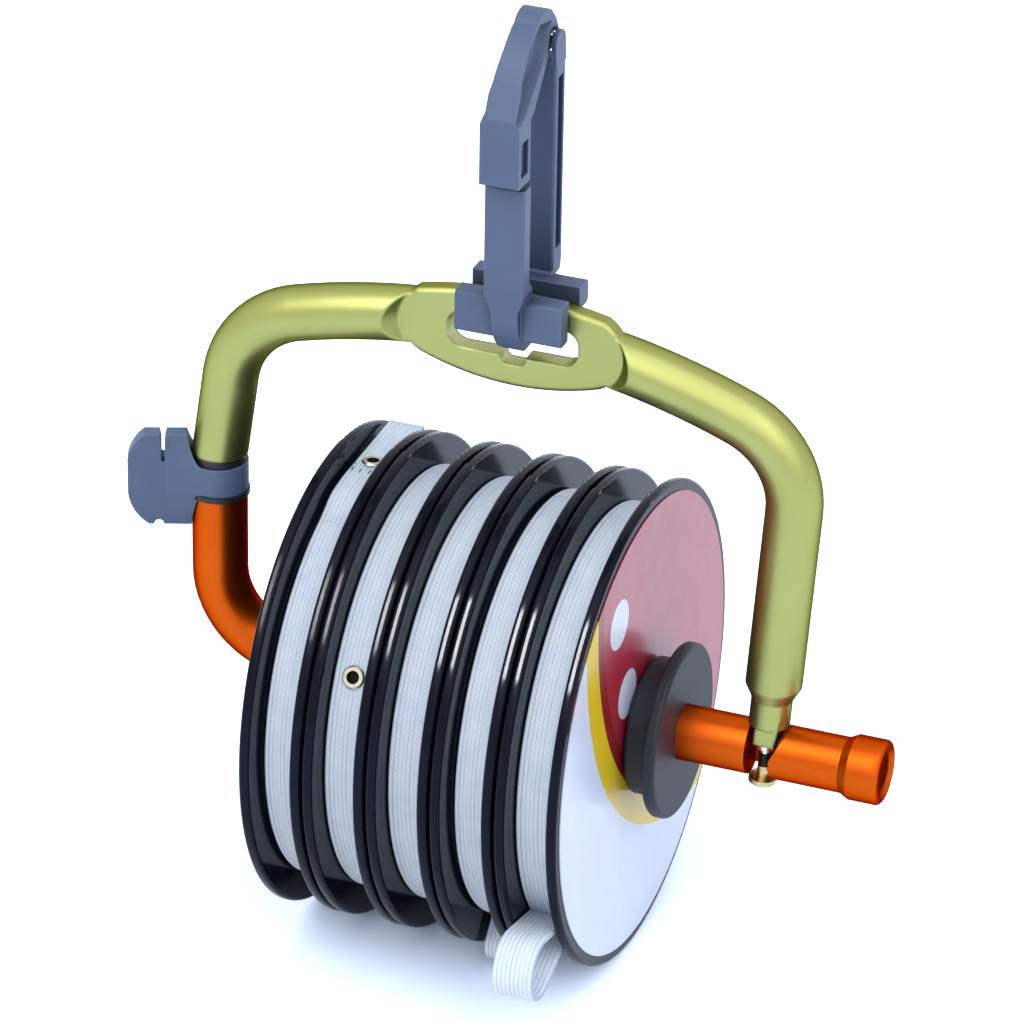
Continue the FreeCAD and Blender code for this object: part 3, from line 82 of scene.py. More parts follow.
def anodised_aluminium(name, dye, deep_dye, edge, ring_share, softening):
    """Blasted aluminium under a dyed oxide film: satin, with the dye a little uneven."""
    made, tree, shader, place = new_material(name, Metallic=1, Specular_Tint=linear(edge))
    cloud = add(tree, "ShaderNodeTexNoise", {"Vector": place, "Scale": 1 / (9 * MM), "Detail": 4})
    dyed = add(tree, "ShaderNodeMix",
               {0: cloud.outputs["Fac"], 6: linear(dye), 7: linear(deep_dye)}, data_type="RGBA")
    tree.links.new(dyed.outputs[2], shader.inputs["Base Color"])
    # The blasted grain is about 0.05 mm. It is drawn at 0.3 mm so that it shows.
    grain = add(tree, "ShaderNodeTexNoise",
                {"Vector": place, "Scale": 1 / (0.3 * MM), "Detail": 2})
    rough = add(tree, "ShaderNodeMapRange",
                {"Value": grain.outputs["Fac"], "To Min": 0.3, "To Max": 0.42})
    tree.links.new(rough.outputs["Result"], shader.inputs["Roughness"])
    # The lathe or the polishing belt leaves rings round the metal. They are drawn 0.35 mm
    # apart, and each one fades and comes back every 25 mm or so.
    turned = add(tree, "ShaderNodeVectorMath",
                 {0: place, 1: (1 / (0.35 * MM), 1 / (25 * MM), 1 / (25 * MM))},
                 operation="MULTIPLY")
    rings = add(tree, "ShaderNodeTexNoise",
                {"Vector": turned.outputs["Vector"], "Scale": 1, "Detail": 1})
    height = add(tree, "ShaderNodeMix",
                 {0: ring_share, 2: grain.outputs["Fac"], 3: rings.outputs["Fac"]})
    soft_edge = add(tree, "ShaderNodeBevel", {"Radius": softening * MM}, samples=6)
    bump = add(tree, "ShaderNodeBump",
               {"Height": height.outputs[0], "Distance": 0.012 * MM, "Strength": 0.6,
                "Normal": soft_edge.outputs["Normal"]})
    tree.links.new(bump.outputs["Normal"], shader.inputs["Normal"])
    return made, tree, shader, place


# Orange dye over blasted aluminium reads as a deep, slightly coppery orange that goes
# nearly maroon where it turns away from the light.
orange_anodised_aluminium, tree, shader, place = anodised_aluminium(
    "orange_anodised_aluminium", "#d65e18", "#c54e10", "#1c0602", 0.25, 0.15)
dress(orange_anodised_aluminium, "rod")

# End cap: the same aluminium, turned on a lathe and dyed with the bar. Its face is dished
# and has a ring of small drilled dimples, where the dye and the shade gather.
turned_orange_aluminium, tree, shader, place = anodised_aluminium(
    "turned_orange_aluminium", "#d45c16", "#c04b0f", "#1c0602", 0.9, 0.15)
OUTER_END = 85.2
IN_DIMPLE = 85.6
ON_DISH = 85.69
DISH_RADIUS = 3
DISH_FADE = 0.5
DISH_SHADE = 0.45
flat = add(tree, "ShaderNodeVectorMath", {0: place, 1: (0, 1, 1)}, operation="MULTIPLY")
reach = add(tree, "ShaderNodeVectorMath", {0: flat.outputs["Vector"]}, operation="LENGTH")
inner = add(tree, "ShaderNodeMapRange",
            {"Value": reach.outputs["Value"], "From Min": (DISH_RADIUS - DISH_FADE) * MM,
             "From Max": DISH_RADIUS * MM, "To Min": 1, "To Max": 0})
along = add(tree, "ShaderNodeSeparateXYZ", {"Vector": place})
outer_end = add(tree, "ShaderNodeMath", {0: along.outputs["X"], 1: OUTER_END * MM},
                operation="GREATER_THAN")
dish = add(tree, "ShaderNodeMath", {0: inner.outputs["Result"], 1: outer_end.outputs[0]},
           operation="MULTIPLY")
shallow = add(tree, "ShaderNodeMapRange",
              {"Value": along.outputs["X"], "From Min": IN_DIMPLE * MM, "From Max": ON_DISH * MM,
               "To Min": 1, "To Max": DISH_SHADE})
shade = add(tree, "ShaderNodeMath", {0: dish.outputs[0], 1: shallow.outputs["Result"]},
            operation="MULTIPLY")
# The dish is painted dark and the dimples darker still: painted shade, where dye also gathers.
dyed = shader.inputs["Base Color"].links[0].from_socket
shaded_dish = add(tree, "ShaderNodeMix", {0: shade.outputs[0], 6: dyed, 7: linear("#1d0a05")},
             data_type="RGBA")
tree.links.new(shaded_dish.outputs[2], shader.inputs["Base Color"])
dress(turned_orange_aluminium, "end_cap")

# Pivot hardware: a steel pin pressed in the leg, a sprung ring in its groove, and two black
# nylon washers between the leg, the nipper and the arm. The lathe leaves the bright steel
# with fine rings, 0.12 mm apart, that draw out its highlights.
turned_steel, tree, shader, place = new_material("turned_steel", Metallic=1)
rings = add(tree, "ShaderNodeVectorMath", {0: place, 1: (300, 300, 1 / (0.12 * MM))},
            operation="MULTIPLY")
scratch = add(tree, "ShaderNodeTexNoise",
              {"Vector": rings.outputs["Vector"], "Scale": 1, "Detail": 3})
tint = add(tree, "ShaderNodeMix",
           {0: scratch.outputs["Fac"], 6: linear("#d8d6cd"), 7: linear("#b4b1a6")},
           data_type="RGBA")
tree.links.new(tint.outputs[2], shader.inputs["Base Color"])
polish = add(tree, "ShaderNodeMapRange",
             {"Value": scratch.outputs["Fac"], "To Min": 0.16, "To Max": 0.34})
tree.links.new(polish.outputs["Result"], shader.inputs["Roughness"])
bump = add(tree, "ShaderNodeBump",
           {"Height": scratch.outputs["Fac"], "Distance": 0.006 * MM, "Strength": 0.5})
tree.links.new(bump.outputs["Normal"], shader.inputs["Normal"])
dress(turned_steel, "pivot_pin", "snap_ring")

# Nylon washers are stamped from black sheet: a soft sheen with a fine rolled grain.
black_nylon, tree, shader, place = new_material("stamped_black_nylon", Roughness=0.45)
rolled = add(tree, "ShaderNodeTexNoise", {"Vector": place, "Scale": 1 / (0.5 * MM), "Detail": 3})
tint = add(tree, "ShaderNodeMix",
           {0: rolled.outputs["Fac"], 6: linear("#14141a"), 7: linear("#1f2027")},
           data_type="RGBA")
tree.links.new(tint.outputs[2], shader.inputs["Base Color"])
bump = add(tree, "ShaderNodeBump",
           {"Height": rolled.outputs["Fac"], "Distance": 0.01 * MM, "Strength": 0.5})
tree.links.new(bump.outputs["Normal"], shader.inputs["Normal"])
dress(black_nylon, "lower_washer", "upper_washer")

# Nipper: a paddle moulded in glass-filled nylon, with a slit and a blade set in it. The
# blade is blued spring steel, as the clip's pin and spring are: nearly black with a blue
# cast, in patches where the heat took it. On the blade that near black is also painted shade for
# the slit.
blued_and_shaded_steel, tree, shader, place = new_material("blued_and_shaded_spring_steel", Metallic=1)
heat = add(tree, "ShaderNodeTexNoise", {"Vector": place, "Scale": 1 / (0.8 * MM), "Detail": 3})
tint = add(tree, "ShaderNodeMix",
           {0: heat.outputs["Fac"], 6: linear("#3c4250"), 7: linear("#5c6373")},
           data_type="RGBA")
tree.links.new(tint.outputs[2], shader.inputs["Base Color"])
polish = add(tree, "ShaderNodeMapRange",
             {"Value": heat.outputs["Fac"], "To Min": 0.28, "To Max": 0.45})
tree.links.new(polish.outputs["Result"], shader.inputs["Roughness"])
dress(blued_and_shaded_steel, "cutter_blade", "clip_hinge_pin", "gate_spring")

# Glass-filled nylon, blue-grey right through: it comes satin out of its spark-eroded
# mould. Its edges are painted paler, partly as rub and partly as painted highlight.
moulded_nylon, tree, shader, place = new_material("blue_grey_moulded_nylon")
flow = add(tree, "ShaderNodeTexNoise", {"Vector": place, "Scale": 1 / (7 * MM), "Detail": 3})
tint = add(tree, "ShaderNodeMix",
           {0: flow.outputs["Fac"], 6: linear("#4b5c7b"), 7: linear("#576987")},
           data_type="RGBA")
# The hollows are painted darker, to a deep blue-grey: painted shade where the parts shade one
# another.
hollow = add(tree, "ShaderNodeAmbientOcclusion", {"Distance": 12 * MM}, samples=8)
hollow_shade = add(tree, "ShaderNodeMapRange",
            {"Value": hollow.outputs["AO"], "From Min": 0.5, "From Max": 0.97,
             "To Min": 0.85, "To Max": 0})
shaded_hollows = add(tree, "ShaderNodeMix",
             {0: hollow_shade.outputs["Result"], 6: tint.outputs[2], 7: linear("#26304c")},
             data_type="RGBA")
# Where a rounded edge turns away from the flat face beside it, it is painted paler: partly rub,
# partly painted highlight.
soft_edge = add(tree, "ShaderNodeBevel", {"Radius": 0.28 * MM}, samples=6)
flat = add(tree, "ShaderNodeNewGeometry", {})
turn = add(tree, "ShaderNodeVectorMath",
           {0: soft_edge.outputs["Normal"], 1: flat.outputs["True Normal"]},
           operation="DOT_PRODUCT")
edge_rub_and_highlight = add(tree, "ShaderNodeMapRange",
          {"Value": turn.outputs["Value"], "From Min": 0.97, "From Max": 0.8,
           "To Min": 0, "To Max": 0.55})
rubbed_and_highlit = add(tree, "ShaderNodeMix",
             {0: edge_rub_and_highlight.outputs["Result"], 6: shaded_hollows.outputs[2], 7: linear("#8b9bba")},
             data_type="RGBA")
tree.links.new(rubbed_and_highlit.outputs[2], shader.inputs["Base Color"])
# The spark-eroded mould leaves a grain of about 0.1 mm, drawn at 0.35 mm.
spark = add(tree, "ShaderNodeTexNoise", {"Vector": place, "Scale": 1 / (0.35 * MM), "Detail": 2})
matt = add(tree, "ShaderNodeMapRange",
           {"Value": spark.outputs["Fac"], "To Min": 0.42, "To Max": 0.6})
tree.links.new(matt.outputs["Result"], shader.inputs["Roughness"])
bump = add(tree, "ShaderNodeBump",
           {"Height": spark.outputs["Fac"], "Distance": 0.02 * MM, "Strength": 0.5,
            "Normal": soft_edge.outputs["Normal"]})
tree.links.new(bump.outputs["Normal"], shader.inputs["Normal"])
dress(moulded_nylon, "cutter_body")

# Arched arm: a second aluminium rod, swaged flat and pierced for the clip, dyed olive
# green. The dye takes a yellow cast where the light falls on it.
olive_anodised_aluminium, tree, shader, place = anodised_aluminium(
    "olive_anodised_aluminium", "#aeb36e", "#a3a863", "#16150a", 0.12, 0.6)
# The cut walls of the eye's slot are painted pale olive: partly paler metal on the cut, partly a
# painted highlight.
EYE_CENTRE = (38.25, 0, 48.4)
EYE_HALF_LENGTH = 8.35
EYE_HALF_HEIGHT = 3
WALL_LEAN = 0.4
middle = add(tree, "ShaderNodeVectorMath", {0: place, 1: [part * MM for part in EYE_CENTRE]},
             operation="SUBTRACT")
beside = add(tree, "ShaderNodeVectorMath", {0: middle.outputs["Vector"]}, operation="ABSOLUTE")
away = add(tree, "ShaderNodeSeparateXYZ", {"Vector": beside.outputs["Vector"]})
short = add(tree, "ShaderNodeMath", {0: away.outputs["X"], 1: EYE_HALF_LENGTH * MM},
            operation="LESS_THAN")
low = add(tree, "ShaderNodeMath", {0: away.outputs["Z"], 1: EYE_HALF_HEIGHT * MM},
          operation="LESS_THAN")
near = add(tree, "ShaderNodeMath", {0: short.outputs[0], 1: low.outputs[0]},
           operation="MULTIPLY")
outward = add(tree, "ShaderNodeTexCoord", {}).outputs["Normal"]
facing = add(tree, "ShaderNodeSeparateXYZ", {"Vector": outward})
wall = add(tree, "ShaderNodeMath", {0: facing.outputs["Y"], 1: 0.0, 2: WALL_LEAN},
           operation="COMPARE")
slot_wall_glint = add(tree, "ShaderNodeMath", {0: near.outputs[0], 1: wall.outputs[0]},
           operation="MULTIPLY")
dyed = shader.inputs["Base Color"].links[0].from_socket
slot_walls_highlit = add(tree, "ShaderNodeMix", {0: slot_wall_glint.outputs[0], 6: dyed, 7: linear("#c4c895")},
              data_type="RGBA")
tree.links.new(slot_walls_highlit.outputs[2], shader.inputs["Base Color"])
dress(olive_anodised_aluminium, "upper_arm")

# Latch stud: a steel rivet pressed up into the arm's tongue. Its flat head keeps a pale gold
# wash. Its shank is painted dark as painted shade, and its collar near white: bright steel with a
# painted highlight.
gilt_steel, tree, shader, place = new_material("gold_washed_steel", Metallic=1)
HEAD_TOP = -2.2
SHANK_TOP = -0.3
wash = add(tree, "ShaderNodeTexNoise", {"Vector": place, "Scale": 1 / (1.2 * MM), "Detail": 3})
tint = add(tree, "ShaderNodeMix",
           {0: wash.outputs["Fac"], 6: linear("#d9cda2"), 7: linear("#b3a068")},
           data_type="RGBA")
height = add(tree, "ShaderNodeSeparateXYZ", {"Vector": place})
above_head = add(tree, "ShaderNodeMath", {0: height.outputs["Z"], 1: HEAD_TOP * MM},
                 operation="GREATER_THAN")
shank_painted_shade = add(tree, "ShaderNodeMix",
              {0: above_head.outputs[0], 6: tint.outputs[2], 7: linear("#2e2820")},
              data_type="RGBA")
above_shank = add(tree, "ShaderNodeMath", {0: height.outputs["Z"], 1: SHANK_TOP * MM},
                  operation="GREATER_THAN")
collar_painted_highlight = add(tree, "ShaderNodeMix",
             {0: above_shank.outputs[0], 6: shank_painted_shade.outputs[2], 7: linear("#eceef0")},
             data_type="RGBA")
tree.links.new(collar_painted_highlight.outputs[2], shader.inputs["Base Color"])
polish = add(tree, "ShaderNodeMapRange",
             {"Value": wash.outputs["Fac"], "To Min": 0.18, "To Max": 0.35})
tree.links.new(polish.outputs["Result"], shader.inputs["Roughness"])
dress(gilt_steel, "latch_stud")

# Clip: a tall hook looped through the eye of the arm, with a sprung gate across its top.
# Both are moulded in the nipper's blue-grey nylon.
dress(moulded_nylon, "clip_body", "clip_gate")

# Spools: five injection-moulded reels in black ABS. They turn on the bar, one against the
# next. The polished mould leaves them nearly black and glossy, with a blue cast.
black_abs, tree, shader, place = new_material("polished_black_abs", Specular_IOR_Level=0.1)
flow = add(tree, "ShaderNodeTexNoise", {"Vector": place, "Scale": 1 / (12 * MM), "Detail": 3})
tint = add(tree, "ShaderNodeMix",
           {0: flow.outputs["Fac"], 6: linear("#090a14"), 7: linear("#131526")},
           data_type="RGBA")
tree.links.new(tint.outputs[2], shader.inputs["Base Color"])
# Handling leaves faint hairlines on the polished cheeks. They are drawn at 0.8 mm.
hair = add(tree, "ShaderNodeTexNoise", {"Vector": place, "Scale": 1 / (0.8 * MM), "Detail": 4})
polish = add(tree, "ShaderNodeMapRange",
             {"Value": hair.outputs["Fac"], "To Min": 0.07, "To Max": 0.17})
tree.links.new(polish.outputs["Result"], shader.inputs["Roughness"])
bump = add(tree, "ShaderNodeBump",
           {"Height": hair.outputs["Fac"], "Distance": 0.008 * MM, "Strength": 0.4})
tree.links.new(bump.outputs["Normal"], shader.inputs["Normal"])
dress(black_abs, *["spool_%d" % number for number in range(1, 6)])

# Windings: clear nylon line laid in close turns on each drum. Only its outer turns show,
# in the gap beside the band.
SPOOL_PITCH = 8.1
SPOOL_X = [15.3 + SPOOL_PITCH * index for index in range(5)]
SPOOL_WIDTH = 7.8
CHEEK = 1.3
RIB_HEIGHT = 0.12


def to_object(mesh, name):
    """Put a finished mesh in the scene as an object of its own."""
    made = bpy.data.objects.new(name, bpy.data.meshes.new(name))
    mesh.to_mesh(made.data)
    mesh.free()
    bpy.context.scene.collection.objects.link(made)
    return made


def ribbed_strip(name, spine, left, right, thickness, ribs, closed=False, both=False):
    """Make a flat strip with rounded ribs along its outer face, or along both faces.
    The spine is (y, z) in mm, with the outer face on its left. The strip's map counts
    ribs across and millimetres along."""
    mesh = bmesh.new()
    strip_map = mesh.loops.layers.uv.new("strip")
    width = right - left
    across = []
    for rib in range(ribs):
        for step in (-1, -0.5, 0, 0.5):
            across.append((left + width * (rib + (step + 1) / 2) / ribs,
                           RIB_HEIGHT * (1 - math.sqrt(1 - step * step))))
    across.append((right, RIB_HEIGHT))
    outline = [(x, thickness / 2 - dip) for x, dip in across]
    outline += [(x, -thickness / 2 + (dip if both else 0)) for x, dip in reversed(across)]
    rows = []
    lengths = [0]
    count = len(spine)
    for index, (y, z) in enumerate(spine):
        before = spine[index - 1] if closed or index else spine[0]
        after = spine[(index + 1) % count] if closed or index < count - 1 else spine[-1]
        run = Vector((after[0] - before[0], after[1] - before[1])).normalized()
        side = Vector((-run.y, run.x))
        rows.append([mesh.verts.new((x * MM, (y + side.x * up) * MM, (z + side.y * up) * MM))
                     for x, up in outline])
        following = spine[(index + 1) % count]
        lengths.append(lengths[-1] + math.hypot(following[0] - y, following[1] - z))
    for index in range(count if closed else count - 1):
        here, there = rows[index], rows[(index + 1) % count]
        for spot in range(len(outline)):
            beside = (spot + 1) % len(outline)
            face = mesh.faces.new((here[spot], here[beside], there[beside], there[spot]))
            places = ((spot, index), (beside, index), (beside, index + 1), (spot, index + 1))
            for loop, (column, row) in zip(face.loops, places):
                loop[strip_map].uv = ((outline[column][0] - left) / width * ribs, lengths[row])
    if not closed:
        mesh.faces.new(rows[0][::-1])
        mesh.faces.new(rows[-1])
    bmesh.ops.recalc_face_normals(mesh, faces=mesh.faces)
    made = to_object(mesh, name)
    made.data.shade_smooth()
    return made


def circle_spine(radius, steps):
    """Points round the bar's axis, in the order that puts the outer side on the left."""
    return [(radius * math.cos(-2 * math.pi * step / steps),
             radius * math.sin(-2 * math.pi * step / steps)) for step in range(steps)]


# Clear nylon monofilament: pale and glossy, with the shade of the turns under it.
clear_nylon_line, tree, shader, place = new_material(
    "clear_nylon_line", Roughness=0.2, IOR=1.53, Coat_Weight=0.5, Coat_Roughness=0.12)
lay = add(tree, "ShaderNodeTexNoise", {"Vector": place, "Scale": 1 / (1.5 * MM), "Detail": 3})
tint = add(tree, "ShaderNodeMix",
           {0: lay.outputs["Fac"], 6: linear("#6f7f9a"), 7: linear("#a9b7cc")},
           data_type="RGBA")
tree.links.new(tint.outputs[2], shader.inputs["Base Color"])
WINDING_RADIUS = 25
DRUM_RADIUS = 22
WINDING_DEPTH = WINDING_RADIUS - DRUM_RADIUS
TURNS_ACROSS = 16
SIDE_PLAY = 0.1
for index, spool_x in enumerate(SPOOL_X):
    number = index + 1
    winding = ribbed_strip("wound_line_%d" % number,
                           circle_spine(DRUM_RADIUS + WINDING_DEPTH / 2, steps=160),
                           spool_x + CHEEK + SIDE_PLAY,
                           spool_x + SPOOL_WIDTH - CHEEK - SIDE_PLAY,
                           WINDING_DEPTH, TURNS_ACROSS, closed=True)
    winding.data.materials.append(clear_nylon_line)
    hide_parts("line_%d" % number)
    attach(winding, "reel_%d" % number)

# Bands: flat braided elastic that keeps the line from springing off. The first has its
# loose end lying out over the top, and the fourth and fifth have a sewn pull loop. The
# braid is a matt, cool white, with rubber cords along it that stand up as soft ribs.
braided_elastic, tree, shader, place = new_material(
    "white_braided_elastic", Roughness=0.8, Sheen_Weight=0.2, Sheen_Roughness=0.5)
strip = add(tree, "ShaderNodeUVMap", {}, uv_map="strip")
parts = add(tree, "ShaderNodeSeparateXYZ", {"Vector": strip.outputs["UV"]})
# The weft crosses each rubber cord every 0.3 mm. It is drawn at 0.55 mm so that it shows.
WEFT_PITCH = 0.55
cord_phase = add(tree, "ShaderNodeMath", {0: parts.outputs["X"], 1: math.pi},
                 operation="MULTIPLY")
weft_phase = add(tree, "ShaderNodeMath",
                 {0: parts.outputs["Y"], 1: 2 * math.pi / WEFT_PITCH, 2: cord_phase.outputs[0]},
                 operation="MULTIPLY_ADD")
weft = add(tree, "ShaderNodeMath", {0: weft_phase.outputs[0]}, operation="SINE")
cord = add(tree, "ShaderNodeMath", {0: cord_phase.outputs[0]}, operation="SINE")
crest = add(tree, "ShaderNodeMath", {0: cord.outputs[0]}, operation="ABSOLUTE")
yarn = add(tree, "ShaderNodeTexNoise", {"Vector": place, "Scale": 1 / (2.5 * MM), "Detail": 5})
tone = add(tree, "ShaderNodeMapRange",
           {"Value": yarn.outputs["Fac"], "From Min": 0.35, "From Max": 0.65})
cloth = add(tree, "ShaderNodeMix",
            {0: tone.outputs["Result"], 6: linear("#f0f8ff"), 7: linear("#e4f1fe")},
            data_type="RGBA")
shade = add(tree, "ShaderNodeMapRange",
            {"Value": weft.outputs[0], "From Min": -1, "From Max": 1, "To Min": 0.1, "To Max": 0})
crossed = add(tree, "ShaderNodeMix",
              {0: shade.outputs["Result"], 6: cloth.outputs[2], 7: linear("#9db4d8")},
              data_type="RGBA")
# Each furrow between two cords holds the shade of the whole braid. Stretched unevenly,
# some furrows open wider than others, so the strength of the lines wanders.
strain = add(tree, "ShaderNodeVectorMath", {0: strip.outputs["UV"], 1: (1.3, 0.03, 0)},
             operation="MULTIPLY")
slack = add(tree, "ShaderNodeTexNoise",
            {"Vector": strain.outputs["Vector"], "Scale": 1, "Detail": 2})
depth = add(tree, "ShaderNodeMapRange",
            {"Value": slack.outputs["Fac"], "From Min": 0.3, "From Max": 0.7,
             "To Min": 0.2, "To Max": 0.8})
furrow = add(tree, "ShaderNodeMapRange",
             {"Value": crest.outputs[0], "From Min": 0, "From Max": 0.55,
              "To Min": 1, "To Max": 0}, interpolation_type="SMOOTHSTEP")
line = add(tree, "ShaderNodeMath", {0: furrow.outputs["Result"], 1: depth.outputs["Result"]},
           operation="MULTIPLY")
furrowed = add(tree, "ShaderNodeMix",
               {0: line.outputs[0], 6: crossed.outputs[2], 7: linear("#7f9cc8")},
               data_type="RGBA")
tree.links.new(furrowed.outputs[2], shader.inputs["Base Color"])
bump = add(tree, "ShaderNodeBump",
           {"Height": weft.outputs[0], "Distance": 0.02 * MM, "Strength": 0.4})
tree.links.new(bump.outputs["Normal"], shader.inputs["Normal"])

RIBS = 9
BAND_RADIUS = 26.2
BAND_THICK = 1.2
RIBBON = 0.8
LEFT_GAPS = [0.5, 0.15, 0.15, 0.5, 0.15]
RIGHT_GAP = 0.15
EYELET_TURNS = [-5, 62, 200, 245, 262]
EYELET_HOLE = 1.1
LOOP_SUNK = 0.7
LOOP_STEPS = 40
PULL_LOOPS = {4: {"turn": 153, "lean": 0, "radius": 2.2, "stand": 3.4, "neck": 1.2},
              5: {"turn": 131, "lean": -35, "radius": 4, "stand": 9.5, "neck": 1}}
# The lap of the first band starts 21 degrees before the top. It is skived thin over the
# first 10 of them, so it rises out of the band with no step, and its end stands free.
LAP_START = -21
LAP_SKIVED = 10
LAP_EDGE = 0.03
FREE_STEPS = 8
FREE_STEP = 1.6
FREE_RISE = 0.05


def radial(turn, along, out):
    """A point in the plane of a band: along and out from the axis, at a turn in degrees."""
    angle = math.radians(turn)
    return (along * math.cos(angle) - out * math.sin(angle),
            along * math.sin(angle) + out * math.cos(angle))


def lap_spine():
    """The line of the first band's lap and of its free end, from the end back."""
    spine = []
    for degrees in range(LAP_START, 1):
        share = min((degrees - LAP_START) / LAP_SKIVED, 1)
        risen = LAP_EDGE + (RIBBON - LAP_EDGE) * share * share * (3 - 2 * share)
        reach = BAND_RADIUS - RIBBON / 2 + risen
        spine.append((reach * math.sin(math.radians(degrees)),
                      reach * math.cos(math.radians(degrees))))
    spine += [(FREE_STEP * step, BAND_RADIUS + RIBBON / 2 + FREE_RISE * step)
              for step in range(1, FREE_STEPS + 1)]
    return spine[::-1]


def loop_spine(turn, lean, radius, stand, neck):
    """The line of a pull loop: up one side from its root on the band, over, and down."""
    bend = radius - RIBBON / 2
    foot = (neck - RIBBON / 2, -LOOP_SUNK)
    points = []
    # The bend starts and ends 20 degrees below the level of its centre.
    for step in range(LOOP_STEPS + 1):
        angle = math.radians(-20 + 220 * step / LOOP_STEPS)
        points.append((bend * math.cos(angle), stand + bend * math.sin(angle)))
    points = [foot] + points + [(-foot[0], foot[1])]
    root = radial(turn, 0, BAND_RADIUS)
    leaning = [radial(turn + lean, along, out) for along, out in reversed(points)]
    return [(root[0] + y, root[1] + z) for y, z in leaning]


def punch(strip, spool_x, turn):
    """Cut the hole for an eyelet through one strip."""
    out = radial(turn, 0, 1)
    axis = Vector((0, out[0], out[1]))
    turned = axis.to_track_quat("Z", "Y").to_matrix().to_4x4()
    middle = Vector(((spool_x + SPOOL_WIDTH / 2) * MM, 0, 0)) + axis * BAND_RADIUS * MM
    drill = bmesh.new()
    bmesh.ops.create_cone(drill, cap_ends=True, segments=40, radius1=EYELET_HOLE * MM,
                          radius2=EYELET_HOLE * MM, depth=4 * MM,
                          matrix=Matrix.Translation(middle) @ turned)
    cutter = to_object(drill, "punch")
    hole = strip.modifiers.new("hole", "BOOLEAN")
    hole.object = cutter
    hole.operation = "DIFFERENCE"
    hole.solver = "EXACT"
    cut = strip.evaluated_get(bpy.context.evaluated_depsgraph_get())
    punched = bpy.data.meshes.new_from_object(cut)
    strip.modifiers.clear()
    strip.data = punched
    bpy.data.objects.remove(cutter)


def join(pieces, name):
    """Make several meshes one piece."""
    mesh = bmesh.new()
    mesh.loops.layers.uv.new("strip")
    for piece in pieces:
        mesh.from_mesh(piece.data)
        bpy.data.objects.remove(piece)
    return to_object(mesh, name)


for index, spool_x in enumerate(SPOOL_X):
    number = index + 1
    left = spool_x + CHEEK + LEFT_GAPS[index]
    right = spool_x + SPOOL_WIDTH - CHEEK - RIGHT_GAP
    # Each strip is punched by itself, because a cut through overlapping strips can fail.
    strips = [ribbed_strip("ring", circle_spine(BAND_RADIUS - BAND_THICK / 2, steps=180),
                           left, right, BAND_THICK, RIBS, closed=True)]
    punch(strips[0], spool_x, EYELET_TURNS[index])
    if number == 1:
        strips.append(ribbed_strip("tail", lap_spine(), left, right, RIBBON, RIBS, both=True))
        punch(strips[1], spool_x, EYELET_TURNS[index])
    if number in PULL_LOOPS:
        strips.append(ribbed_strip("loop", loop_spine(**PULL_LOOPS[number]),
                                   left, right, RIBBON, RIBS, both=True))
    band = join(strips, "elastic_band_%d" % number)
    band.data.materials.clear()
    band.data.materials.append(braided_elastic)
    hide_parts("band_%d" % number)
    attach(band, "reel_%d" % number)

# Eyelets: spun brass, one set in each band. Line is pulled out through the hole, and the
# rim is worn pale, with greyer tarnish in patches.
spun_brass, tree, shader, place = new_material("spun_brass", Metallic=1)
tarnish = add(tree, "ShaderNodeTexNoise", {"Vector": place, "Scale": 1 / (0.7 * MM), "Detail": 4})
tint = add(tree, "ShaderNodeMix",
           {0: tarnish.outputs["Fac"], 6: linear("#dcdacb"), 7: linear("#aca68c")},
           data_type="RGBA")
tree.links.new(tint.outputs[2], shader.inputs["Base Color"])
polish = add(tree, "ShaderNodeMapRange",
             {"Value": tarnish.outputs["Fac"], "To Min": 0.2, "To Max": 0.45})
tree.links.new(polish.outputs["Result"], shader.inputs["Roughness"])
dress(spun_brass, *["eyelet_%d" % number for number in range(1, 6)])

# Eyelet wells: a dark cup inside each hole, over the wound line. Its near black is painted
# shade, with a little tarnish.
shaded_brass_bore, tree, shader, place = new_material(
    "shaded_tarnished_brass_bore", Metallic=0.3, Roughness=0.7)
bore_mottle = add(tree, "ShaderNodeTexNoise", {"Vector": place, "Scale": 1 / (0.4 * MM), "Detail": 3})
tint = add(tree, "ShaderNodeMix",
           {0: bore_mottle.outputs["Fac"], 6: linear("#15170c"), 7: linear("#2a2b16")},
           data_type="RGBA")
tree.links.new(tint.outputs[2], shader.inputs["Base Color"])
WELL_PROFILE = [(0, -1.15), (0.5, -1.15), (0.77, -1.05), (0.79, -0.6), (0.79, 0.33)]
WELL_SIDES = 24
for index, spool_x in enumerate(SPOOL_X):
    number = index + 1
    out = radial(EYELET_TURNS[index], 0, 1)
    axis = Vector((0, out[0], out[1]))
    lift = RIBBON if number == 1 else 0
    mesh = bmesh.new()
    rows = []
    for radius, height in WELL_PROFILE:
        rows.append([mesh.verts.new((radius * math.cos(math.tau * step / WELL_SIDES) * MM,
                                     radius * math.sin(math.tau * step / WELL_SIDES) * MM,
                                     height * MM))
                     for step in range(WELL_SIDES if radius else 1)])
    for low, high in zip(rows, rows[1:]):
        for step in range(WELL_SIDES):
            beside = (step + 1) % WELL_SIDES
            if len(low) == 1:
                mesh.faces.new((low[0], high[step], high[beside]))
            else:
                mesh.faces.new((low[step], low[beside], high[beside], high[step]))
    mesh.transform(axis.to_track_quat("Z", "Y").to_matrix().to_4x4())
    mesh.transform(Matrix.Translation(Vector(((spool_x + SPOOL_WIDTH / 2) * MM, 0, 0))
                                      + axis * (BAND_RADIUS + lift) * MM))
    well = to_object(mesh, "eyelet_well_%d" % number)
    well.data.materials.append(shaded_brass_bore)
    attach(well, "reel_%d" % number)

